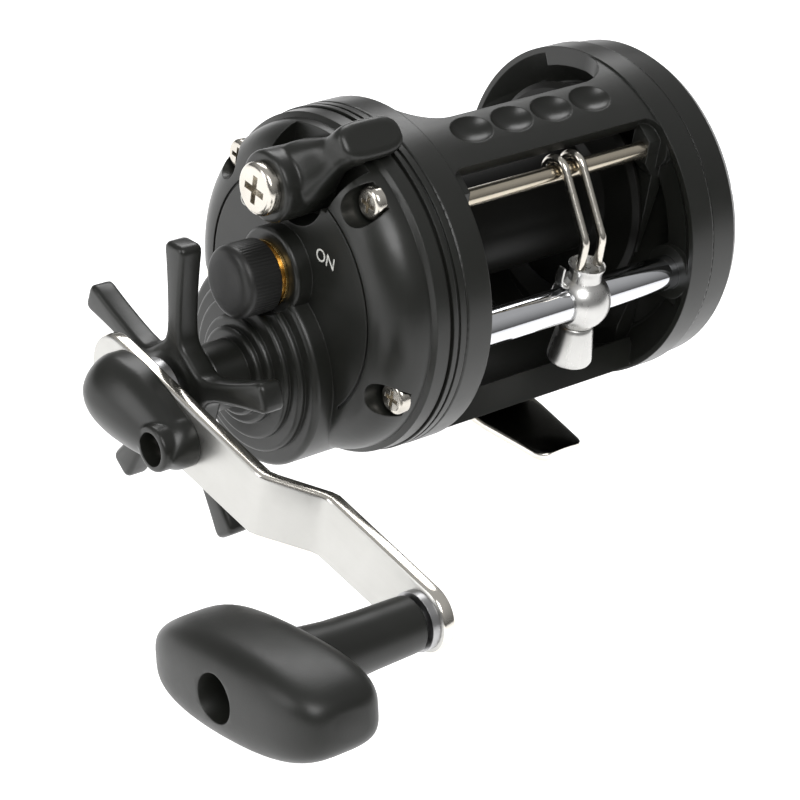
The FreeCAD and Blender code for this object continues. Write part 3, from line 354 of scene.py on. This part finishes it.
def turned_z(name, centre, profile, count=64):
    """A shape turned about an upright line at (x, y, z) from (height, radius) corners."""
    rings = []
    for height, radius in profile:
        ring = []
        for turn in circle(count):
            x = centre[0] + radius * math.cos(turn)
            y = centre[1] + radius * math.sin(turn)
            ring.append(Vector((x, y, centre[2] + height)) * MM)
        rings.append(ring)
    return loft(name, rings)


def arc_profile(x_centre, radius_centre, size, start, end, steps=6):
    """Points (x, radius) on an arc; angles in degrees from the +X direction towards larger radius."""
    turns = [math.radians(start + (end - start) * step / steps) for step in range(steps + 1)]
    return [(x_centre + size * math.cos(turn), radius_centre + size * math.sin(turn)) for turn in turns]


def superellipse(count, power):
    """Unit superellipse points."""
    points = []
    for turn in circle(count):
        across, up = math.cos(turn), math.sin(turn)
        points.append((
            math.copysign(abs(across) ** (2.0 / power), across),
            math.copysign(abs(up) ** (2.0 / power), up),
        ))
    return points


def smooth_rows(rows, steps):
    """Rows of numbers with Catmull-Rom rows added between them."""
    made = []
    for index in range(len(rows) - 1):
        before = rows[max(index - 1, 0)]
        first, second = rows[index], rows[index + 1]
        after = rows[min(index + 2, len(rows) - 1)]
        for step in range(steps):
            t = step / steps
            made.append([
                0.5 * (2 * b + (c - a) * t + (2 * a - 5 * b + 4 * c - d) * t * t
                       + (3 * b - a - 3 * c + d) * t ** 3)
                for a, b, c, d in zip(before, first, second, after)
            ])
    made.append(list(rows[-1]))
    return made


def settle(piece):
    """Apply every modifier to the piece's mesh."""
    graph = bpy.context.evaluated_depsgraph_get()
    mesh = bpy.data.meshes.new_from_object(piece.evaluated_get(graph))
    piece.modifiers.clear()
    piece.data = mesh


def combine(piece, others, operation):
    """Boolean with other pieces, which are used up."""
    for other in others:
        modifier = piece.modifiers.new("combine", "BOOLEAN")
        modifier.operation = operation
        modifier.object = other
        modifier.solver = "EXACT"
        settle(piece)
        bpy.data.objects.remove(other)


def round_edges(piece, width, segments, angle):
    """Round every edge that turns by more than the angle in degrees."""
    modifier = piece.modifiers.new("round", "BEVEL")
    modifier.width = width * MM
    modifier.segments = segments
    modifier.limit_method = "ANGLE"
    modifier.angle_limit = math.radians(angle)
    modifier.use_clamp_overlap = True
    settle(piece)


def melt(piece, cell, passes):
    """Remesh and smooth, so that joined shapes flow into each other."""
    remesh = piece.modifiers.new("remesh", "REMESH")
    remesh.mode = "VOXEL"
    remesh.voxel_size = cell * MM
    smooth = piece.modifiers.new("smooth", "SMOOTH")
    smooth.factor = 0.5
    smooth.iterations = passes
    settle(piece)


def finish_piece(piece, body, slot, stands_for=(), look=None, crease=38.0):
    """Shade, paint and hang a piece on its body."""
    mesh = piece.data
    mesh.materials.clear()
    mesh.materials.append(look or LOOKS[slot])
    mesh.polygons.foreach_set("use_smooth", [True] * len(mesh.polygons))
    mesh.set_sharp_from_angle(angle=math.radians(crease))
    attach(piece, body)
    if stands_for:
        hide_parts(*stands_for)


def bore(centre, low, high, radius, count=48):
    """A round cutter along X from low to high."""
    return turned_x("cutter", centre, [(low, radius), (high, radius)], count)


# ---------------------------------------------------------------- grip

def make_grip():
    """Rounded paddle across the end of a waisted neck, with a screw pocket in its face."""
    paddle_angle = 164.0
    half_length, half_depth = 25.0, 10.4
    half_width, narrowing = 10.2, 3.0
    paddle_x, bow, offset = -114.6, 0.8, 0.6
    blunt, steps = 4.4, 36
    spot = Spot(KNOB, paddle_angle)
    outline = superellipse(count=72, power=3.4)
    rings = []
    for step in range(1, steps):
        t = -math.cos(math.pi * step / steps)
        end = (1.0 - abs(t) ** blunt) ** (1.0 / blunt)
        depth = half_depth * end
        half = (half_width - narrowing * t * t) * end
        x = paddle_x + bow * t * t
        along = offset + half_length * t
        rings.append([spot.at(x + across * depth, along, up * half) for across, up in outline])
    grip = loft("grip_paddle", rings)
    neck = turned_x("neck", KNOB, [
        (-108.0, 7.2), (-104.0, 7.0), (-98.0, 6.3), (-90.0, 5.9), (-81.0, 5.7), (-79.4, 5.6), (-78.9, 5.1),
    ])
    combine(grip, [neck], "UNION")
    screw_pocket = bore(KNOB, -130.0, -116.8, 4.9)
    post_hole = bore(KNOB, -118.0, -70.0, 4.05)
    combine(grip, [screw_pocket, post_hole], "DIFFERENCE")
    round_edges(grip, width=0.35, segments=2, angle=50.0)
    finish_piece(grip, "grip", "grip_black", ["grip"])


make_grip()


# ---------------------------------------------------------------- crank arm and nut cap

def strap_rings(spot, stations, levels, bend):
    """Rings across a strap; levels are (x, inset) pairs down its side."""
    rings = []
    for index in range(len(stations(0.0))):
        side = []
        for x, inset in levels:
            u, half = stations(inset)[index]
            side.append((x + bend(u), u, half))
        ring = [spot.at(x, u, half) for x, u, half in side]
        ring += [spot.at(x, u, -half) for x, u, half in reversed(side)]
        rings.append(ring)
    return rings


def make_arm():
    """Flat strap with a joggle, satin on its faces and polished round its rolled edge."""
    spot = Spot(SHAFT, ARM_ANGLE)
    start, end = -10.2, math.hypot(KNOB[0] - SHAFT[0], KNOB[1] - SHAFT[1])
    start_radius, end_radius = 7.9, 6.9
    outer, inner = -84.5, -81.5
    step_low, step_high, step = 38.6, 51.4, 8.0

    def stations(inset):
        """Pairs of place along the arm and half width, drawn in by the inset all round."""
        cap_steps, strap_steps = 10, 60
        made = []
        for index in range(cap_steps):
            turn = 0.5 * math.pi * index / cap_steps
            size = start_radius - inset
            made.append((start - size * math.cos(turn), size * math.sin(turn)))
        for index in range(strap_steps + 1):
            share = index / strap_steps
            half = start_radius + (end_radius - start_radius) * share
            made.append((start + (end - start) * share, half - inset))
        for index in range(1, cap_steps + 1):
            turn = 0.5 * math.pi * index / cap_steps
            size = end_radius - inset
            made.append((end + size * math.sin(turn), size * math.cos(turn)))
        return made

    def bend(u):
        """The joggle, with its two corners eased."""
        share = min(max((u - step_low) / (step_high - step_low), 0.0), 1.0)
        ease = 0.12
        if share < ease:
            return step * share * share / (2 * ease) / (1 - ease)
        if share > 1 - ease:
            return step * (1 - (1 - share) ** 2 / (2 * ease) / (1 - ease))
        return step * (share - ease / 2) / (1 - ease)

    rolled, eased = 0.9, 0.4
    quarter = 4
    turns = [math.radians(90.0 * index / quarter) for index in range(quarter + 1)]
    levels = [(outer + rolled * (1 - math.cos(turn)), rolled * (1 - math.sin(turn))) for turn in turns]
    levels += [
        (inner - eased * (1 - math.sin(turn)), eased * (1 - math.cos(turn))) for turn in turns[:-1]
    ] + [(inner, eased)]
    arm = loft("crank_arm", strap_rings(spot, stations, levels, bend), caps=False)
    finish_piece(arm, "handle", "satin_aluminium", ["handle_arm"])
    arm.data.materials.append(BRIGHT_EDGE)
    flat = 0.80
    for face in arm.data.polygons:
        face.material_index = 0 if abs(face.normal.x) > flat else 1


make_arm()


def make_nut_cap():
    """Teardrop cap with a soft ridge that runs down to the rim of a round screw pocket."""
    spot = Spot(SHAFT, ARM_ANGLE)
    base = -84.4
    boss_at, end_radius = 15.2, 5.7
    back, widest, top = -11.8, 8.8, 10.2
    tip = boss_at + end_radius
    crest, drop = -3.0, 3.4
    least, skirt_share = 0.6, 0.34
    back_power, side_power = 2.4, 1.5
    rise_power, fall_power = 2.5, 1.4
    across_power, up_power = 1.10, 1.15
    steps, arc_steps = 44, 32

    def half_width(u):
        """Round at the back, narrowing along the sides, round at the tip."""
        if u < 0:
            return widest * max(0.0, 1 - (u / back) ** back_power) ** (1 / back_power)
        if u < boss_at:
            return widest - (widest - end_radius) * (u / boss_at) ** side_power
        return end_radius * math.sqrt(max(0.0, 1 - ((u - boss_at) / end_radius) ** 2))

    def height(u):
        """Rising from the back to the crest, then falling gently to the tip."""
        if u < crest:
            return top * max(0.0, 1 - ((crest - u) / (crest - back)) ** rise_power) ** (1 / rise_power)
        fall = (u - crest) / (tip - crest)
        return top - drop * fall ** fall_power

    rings = []
    for step in range(1, steps):
        share = 0.5 - 0.5 * math.cos(math.pi * step / steps)
        u = back + (tip - back) * share
        half = half_width(u)
        tall = max(height(u), least)
        skirt = tall * skirt_share
        arc = []
        for index in range(arc_steps + 1):
            turn = math.pi * index / arc_steps
            across = math.copysign(abs(math.cos(turn)) ** across_power, math.cos(turn))
            rise = math.sin(turn) ** up_power
            arc.append(spot.at(base - skirt - (tall - skirt) * rise, u, half * across))
        arc.append(spot.at(base, u, -half))
        arc.append(spot.at(base, u, half))
        rings.append(arc)
    cap = loft("nut_cap_shell", rings)
    centre = spot.inner(boss_at)
    boss = turned_x("boss", centre, [(base, 4.9), (-92.2, 4.9), (-92.7, 4.5)])
    combine(cap, [boss], "UNION")
    melt(cap, cell=0.25, passes=6)
    screw_pocket = bore(centre, -99.0, -86.7, 3.6)
    screw_hole = bore(centre, -99.0, -80.0, 1.5)
    nut_room = bore(SHAFT, -88.4, -80.0, 7.0)
    combine(cap, [screw_pocket, screw_hole, nut_room], "DIFFERENCE")
    finish_piece(cap, "handle", "moulded_black", ["nut_cap"], crease=50.0)


make_nut_cap()


# ---------------------------------------------------------------- star drag, lever, cast-control knob

def make_star():
    """Five flared arms on a hub, all edges rolled."""
    arms, first_angle = 5, 81.4
    low, high = -77.0, -71.6
    root, reach, tip = 9.0, 22.0, 32.3
    slim, flare = 2.0, 1.25
    fillet, fillet_length = 2.9, 1.5
    radii = [9.2, 9.8, 10.8, 12.4, 15.0, 19.0, 23.0, 26.0, 28.5, 30.4]
    corner = [(tip - 0.9, 3.05), (tip - 0.25, 2.5), (tip, 1.6)]

    def half_width(radius):
        """Slim in the middle, flared to the tip, with a fillet at the hub."""
        out = radius - root
        return slim + flare * (out / reach) ** 2.4 + fillet * math.exp(-out / fillet_length)

    outline = []
    for arm in range(arms):
        turn = math.radians(first_angle + 360.0 * arm / arms)
        along = Vector((math.cos(turn), math.sin(turn)))
        across = Vector((-math.sin(turn), math.cos(turn)))
        side = [(radius, half_width(radius)) for radius in radii]
        up = [along * radius - across * half for radius, half in side + corner]
        down = [along * radius + across * half for radius, half in reversed(side + corner)]
        outline += up + down
    rings = [
        [Vector((x, SHAFT[0] + point.x, SHAFT[1] + point.y)) * MM for point in outline]
        for x in (low, high)
    ]
    star = loft("star_drag", rings)
    round_edges(star, width=1.1, segments=4, angle=60.0)
    hub = turned_x("hub", SHAFT, [
        (-77.6, 7.0), (-77.4, 7.8), (-76.4, 9.2), (-75.6, 9.7), (-72.4, 9.7), (-71.7, 9.2), (-71.5, 8.4),
    ])
    combine(star, [hub], "UNION")
    sleeve_hole = bore(SHAFT, -90.0, -60.0, 4.06)
    combine(star, [sleeve_hole], "DIFFERENCE")
    finish_piece(star, "star", "moulded_black", ["star_wheel"])


make_star()


def make_lever():
    """Free-spool lever: round hub, waisted neck and a thumb tab that reaches over the rim."""
    lever_angle = 131.0
    spot = Spot(LEVER, lever_angle)
    rows = smooth_rows([
        # outward, inner x, outer x, half width
        (-4.0, -46.2, -57.5, 5.6), (0.0, -46.0, -57.6, 6.9), (5.0, -46.0, -56.8, 6.6),
        (8.5, -46.2, -55.2, 5.3), (11.5, -46.0, -53.2, 4.1), (13.4, -43.0, -52.3, 3.8),
        (15.2, -38.4, -52.0, 4.2), (17.2, -36.6, -51.8, 4.4), (18.6, -36.4, -51.4, 3.9),
        (19.2, -37.4, -50.4, 2.6),
    ], steps=4)
    outline = superellipse(count=48, power=3.0)
    rings = []
    for outward, near, far, half in rows:
        middle_x, depth = (near + far) / 2.0, (near - far) / 2.0
        rings.append([spot.at(middle_x + across * depth, outward, up * half) for across, up in outline])
    lever = loft("free_spool_lever", rings)
    hub = turned_x("hub", LEVER, [
        (-59.55, 6.9), (-59.2, 7.4), (-58.4, 7.6), (-52.0, 7.5), (-46.2, 7.3), (-45.6, 6.9),
    ])
    combine(lever, [hub], "UNION")
    rim = bore(RING, -46.6, -30.0, 37.5, count=160)
    screw_hole = bore(LEVER, -70.0, -40.0, 2.4)
    combine(lever, [rim, screw_hole], "DIFFERENCE")
    melt(lever, cell=0.28, passes=5)
    finish_piece(lever, "lever", "moulded_black", ["lever"], crease=60.0)


make_lever()


def make_cast_knob():
    """Cast-control cap with a fine straight knurl and a rounded, slightly dished face."""
    front, rear = -66.5, -58.0
    radius, inner = 7.8, 6.15
    ridges, steps_per_ridge, knurl_depth = 64, 6, 0.10
    rounding = 1.7

    def knurl(x, turn):
        """Change of the radius: ridges round the side, none near the two ends."""
        if x < front + 1.9 or x > rear - 0.5:
            return 0.0
        return -knurl_depth * (0.5 + 0.5 * math.cos(ridges * turn))

    profile = [(front + 0.35, 0.6), (front + 0.25, 3.2), (front, 5.0)]
    profile += arc_profile(front + rounding, radius - 1.75, rounding, start=180.0, end=90.0)[1:]
    profile += [(front + 2.0, radius), (rear - 0.6, radius)]
    profile += [(rear - 0.3, radius - 0.1), (rear, radius - 0.4)]
    profile += [(rear, inner), (front + 1.8, inner), (front + 1.8, 0.6)]
    knob = turned_x("cast_knob_knurled", SPOOL, profile, ridges * steps_per_ridge, knurl)
    finish_piece(knob, "cast_control", "knob_black", ["cast_knob"])


make_cast_knob()


# ---------------------------------------------------------------- level-wind carriage

PAWL_RADIUS = 1.2
CARRIAGE = (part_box("pawl")[0].x / MM + PAWL_RADIUS, TUBE[0], TUBE[1])


def make_carriage_ball():
    """Ball on the tube with flat sides and a flared collar above."""
    x = CARRIAGE[0]
    ball, ball_end, steps = 6.5, 46.0, 20
    profile = [(-5.7, 0.6), (-5.7, 3.7), (-5.3, 4.0)]
    for step in range(steps + 1):
        turn = math.radians(-ball_end + 2.0 * ball_end * step / steps)
        profile.append((ball * math.sin(turn), ball * math.cos(turn)))
    profile += [
        (5.3, 3.6), (6.4, 3.45), (7.4, 3.55), (8.3, 4.0), (8.6, 4.0), (8.5, 3.6), (7.3, 3.0), (7.0, 0.5),
    ]
    body = turned_z("carriage_ball", CARRIAGE, profile)
    reach, half_length = 20.0, 4.9
    limits = [
        bore(TUBE, x - reach, x + reach, 3.84),
        bore(TUBE, x - reach, x - half_length, 9.0),
        bore(TUBE, x + half_length, x + reach, 9.0),
    ]
    combine(body, limits, "DIFFERENCE")
    finish_piece(body, "carriage", "chrome", ["carriage"], look=SATIN_CHROME)


def make_carriage_fin():
    """A thin strip that leaves the top of the tube beside the ball and turns up."""
    x = CARRIAGE[0]
    half_thickness, half_width, taper = 0.35, 1.5, 0.6
    offset = 0.8
    route = [(-3.6, 4.0), (-5.2, 4.3), (-6.3, 5.0), (-6.7, 6.2), (-6.6, 7.6), (-6.3, 9.0)]
    rows = smooth_rows(route, steps=4)
    rings = []
    for index, (across, up) in enumerate(rows):
        before = rows[max(index - 1, 0)]
        after = rows[min(index + 1, len(rows) - 1)]
        run = Vector((after[0] - before[0], after[1] - before[1])).normalized()
        side = Vector((-run.y, run.x)) * half_thickness
        half = half_width - taper * index / (len(rows) - 1)
        ring = []
        for thick, wide in superellipse(count=20, power=4.0):
            y = TUBE[0] + offset + half * wide
            ring.append(Vector((x + across + side.x * thick, y, TUBE[1] + up + side.y * thick)) * MM)
        rings.append(ring)
    finish_piece(loft("carriage_fin", rings), "carriage", "chrome", look=SATIN_CHROME)


def make_pawl_cap():
    """Bell-shaped cap that hangs under the ball."""
    cap = turned_z("pawl_cap_bell", CARRIAGE, [
        (-15.0, 0.6), (-15.0, 4.1), (-14.8, 4.6), (-14.3, 4.85), (-13.6, 4.85), (-10.0, 4.4),
        (-7.0, 4.0), (-6.2, 3.85), (-5.9, 3.6), (-5.8, 0.6),
    ])
    finish_piece(cap, "carriage", "chrome", ["pawl_cap"], look=SATIN_CHROME)


make_carriage_ball()
make_carriage_fin()
make_pawl_cap()


# ---------------------------------------------------------------- foot

def make_foot():
    """Stamped steel plate: bright polished rolled edges, flat top and under faces painted near black as a painted
    reflection of the dark reel above, two crowned arms with round corners.
    """
    low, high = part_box("foot")
    half_length = max(abs(low.y), abs(high.y)) / MM
    thick, roll, corner = 2.0, 0.55, 2.4
    root, waist, tip_half = 9.0, 8.5, 6.0
    arm_start, waist_at = 12.0, 20.0
    straight_end = half_length - corner
    crown_radius = 32.0
    across_steps, roll_steps = 12, 6

    def arm_half(y):
        """Half width of an arm at a distance from the middle."""
        if y < waist_at:
            return root - (root - waist) * max(y - arm_start, 0.0) / (waist_at - arm_start)
        wide = waist - (waist - tip_half) * (y - waist_at) / (half_length - waist_at)
        past = max(y - straight_end, 0.0)
        return wide - corner + math.sqrt(max(corner * corner - past * past, 0.0))

    def plate(name, stations, crowned):
        """Rings over the top, round one rolled edge, back underneath and round the other."""
        turns = [math.radians(180.0 * index / roll_steps) for index in range(1, roll_steps)]
        rings = []
        for y, half in stations:
            flat = half - roll
            ring = []
            for side in (1, -1):
                for index in range(across_steps + 1):
                    x = side * (-flat + 2.0 * flat * index / across_steps)
                    level = thick if side > 0 else 0.0
                    ring.append((x, level, x))
                for turn in turns:
                    x = side * (flat + roll * math.sin(turn))
                    ring.append((x, thick / 2.0 + side * (thick / 2.0) * math.cos(turn), side * flat))
            if crowned:
                ring = [(x, z - edge * edge / (2.0 * crown_radius), edge) for x, z, edge in ring]
            rings.append([Vector((x, y, z)) * MM for x, z, edge in ring])
        return loft(name, rings)

    middle_stations = [(-15.5, 25.6), (-15.2, 26.0), (15.2, 26.0), (15.5, 25.6)]
    foot = plate("stamped_foot", middle_stations, crowned=False)
    steps = 14
    reach = [arm_start + (straight_end - arm_start) * step / steps for step in range(steps + 1)]
    reach += [straight_end + corner * math.sin(math.radians(15.0 * step)) for step in range(1, 7)]
    arms = []
    for side in (-1, 1):
        arms.append(plate("arm", [(side * y, arm_half(y)) for y in reach], crowned=True))
    combine(foot, arms, "UNION")
    finish_piece(foot, "frame", "polished_steel", ["foot"], look=FOOT_PAINTED_REFLECTION)
    foot.data.materials.append(BRIGHT_EDGE)
    # Faces that point up or down take the painted dark reflection; the rolled edges keep the bright polished
    # steel.
    flat = 0.85
    for face in foot.data.polygons:
        face.material_index = 0 if abs(face.normal.z) > flat else 1


make_foot()


# ---------------------------------------------------------------- dial words

# from the side plate's outer face to the gear cover's flat face
COVER_HEIGHT = 13.5


def dial_word(name, word, y, z, size=3.9, ink=0.03, boldness=0.02):
    """A short printed word on the cover's flat face, reading towards the rod tip."""
    text = bpy.data.curves.new(name, "FONT")
    text.body = word
    text.size = size * MM
    text.extrude = ink * MM
    text.offset = boldness * MM
    text.align_x = "CENTER"
    text.align_y = "CENTER"
    holder = bpy.data.objects.new(name + "_outline", text)
    bpy.context.scene.collection.objects.link(holder)
    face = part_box("side_plate")[0].x - COVER_HEIGHT * MM
    turn = Matrix(((0, 0, -1), (-1, 0, 0), (0, 1, 0))).to_4x4()
    holder.matrix_world = Matrix.Translation(Vector((face, y * MM, z * MM))) @ turn
    bpy.context.view_layer.update()
    graph = bpy.context.evaluated_depsgraph_get()
    mesh = bpy.data.meshes.new_from_object(holder.evaluated_get(graph))
    mesh.transform(holder.matrix_world)
    bpy.data.objects.remove(holder)
    shape = bmesh.new()
    shape.from_mesh(mesh)
    bmesh.ops.remove_doubles(shape, verts=shape.verts, dist=SAME_POINT)
    shape.to_mesh(mesh)
    shape.free()
    finish_piece(mesh_piece(name, mesh), "frame", "moulded_black", look=WHITE_INK)


dial_word("dial_on", "ON", RING[0] - 9.8, RING[1] + 13.6)
dial_word("dial_off", "OFF", RING[0] + 15.8, RING[1] + 13.2)


# ---------------------------------------------------------------- camera, light and floor

# the photograph's view: the camera's place from the ring's centre, its turn and its focal length
CAMERA_FROM_RING = Vector((-391.96, -389.79, 307.62)) * MM
CAMERA_RIGHT = Vector((0.77027, -0.62284, 0.13695))
CAMERA_UP = Vector((0.25132, 0.49385, 0.83243))
LENS = 131.04
SENSOR = 36.0


def make_camera():
    """The camera of the photograph's view, aimed by its right and up directions."""
    data = bpy.data.cameras.new("camera")
    camera = bpy.data.objects.new("camera", data)
    bpy.context.scene.collection.objects.link(camera)
    back = CAMERA_RIGHT.cross(CAMERA_UP).normalized()
    turn = Matrix((CAMERA_RIGHT, CAMERA_UP, back)).transposed()
    centre = Vector((0.0, RING_CENTRE.y, RING_CENTRE.z))
    camera.matrix_world = Matrix.Translation(centre + CAMERA_FROM_RING) @ turn.to_4x4()
    data.sensor_width = SENSOR
    data.lens = LENS
    data.clip_start = 0.01
    data.clip_end = 50.0
    bpy.context.scene.camera = camera


def area_light(name, place, target, size, power):
    """A white rectangular light at a place, turned to face the target."""
    data = bpy.data.lights.new(name, "AREA")
    data.shape = "RECTANGLE"
    data.size = size[0]
    data.size_y = size[1]
    data.energy = power
    light = bpy.data.objects.new(name, data)
    bpy.context.scene.collection.objects.link(light)
    light.location = place
    direction = Vector(target) - Vector(place)
    light.rotation_euler = direction.to_track_quat("-Z", "Y").to_euler()


def make_world():
    """Soft grey surround that brightens overhead, so bright metal has something to reflect."""
    world = bpy.data.worlds.new("studio")
    bpy.context.scene.world = world
    world.use_nodes = True
    tree = world.node_tree
    background = tree.nodes["Background"]
    place = tree.nodes.new("ShaderNodeTexCoord")
    split = tree.nodes.new("ShaderNodeSeparateXYZ")
    ramp = tree.nodes.new("ShaderNodeValToRGB")
    tree.links.new(place.outputs["Generated"], split.inputs["Vector"])
    tree.links.new(split.outputs["Z"], ramp.inputs["Fac"])
    tree.links.new(ramp.outputs["Color"], background.inputs["Color"])
    for stop, height, grey in ((0, 0.0, 0.20), (1, 0.75, 0.95)):
        ramp.color_ramp.elements[stop].position = height
        ramp.color_ramp.elements[stop].color = (grey, grey, grey, 1.0)
    background.inputs["Strength"].default_value = 0.50


def make_floor():
    """A pale, faintly glowing floor a little below the reel."""
    half, gap = 6.0, 0.03
    grey, light_grey = (0.88, 0.88, 0.88), (0.90, 0.90, 0.90)
    mesh = bpy.data.meshes.new("floor")
    mesh.from_pydata(
        [(-half, -half, 0), (half, -half, 0), (half, half, 0), (-half, half, 0)], [], [(0, 1, 2, 3)],
    )
    floor = mesh_piece("floor", mesh)
    floor.location.z = cad_low.z - gap
    paint = Paint("pale_floor", grey, roughness=0.9)
    paint.colours(paint.noise(scale=3.0, detail=4.0, roughness=0.5), grey, light_grey)
    paint.shader.inputs["Emission Color"].default_value = (1.0, 1.0, 1.0, 1.0)
    paint.shader.inputs["Emission Strength"].default_value = 0.70
    mesh.materials.append(paint.material)


make_camera()
bpy.context.scene.view_settings.view_transform = "Standard"
make_world()
area_light("key", (-0.35, -0.45, 0.75), target=(0, 0, 0.03), size=(0.45, 0.45), power=4.5)
area_light("side", (-0.85, 0.25, 0.35), target=(-0.03, 0, 0.03), size=(0.30, 0.60), power=2.4)
area_light("back", (0.35, 0.55, 0.6), target=(0, 0, 0.03), size=(0.5, 0.4), power=3.0)
make_floor()
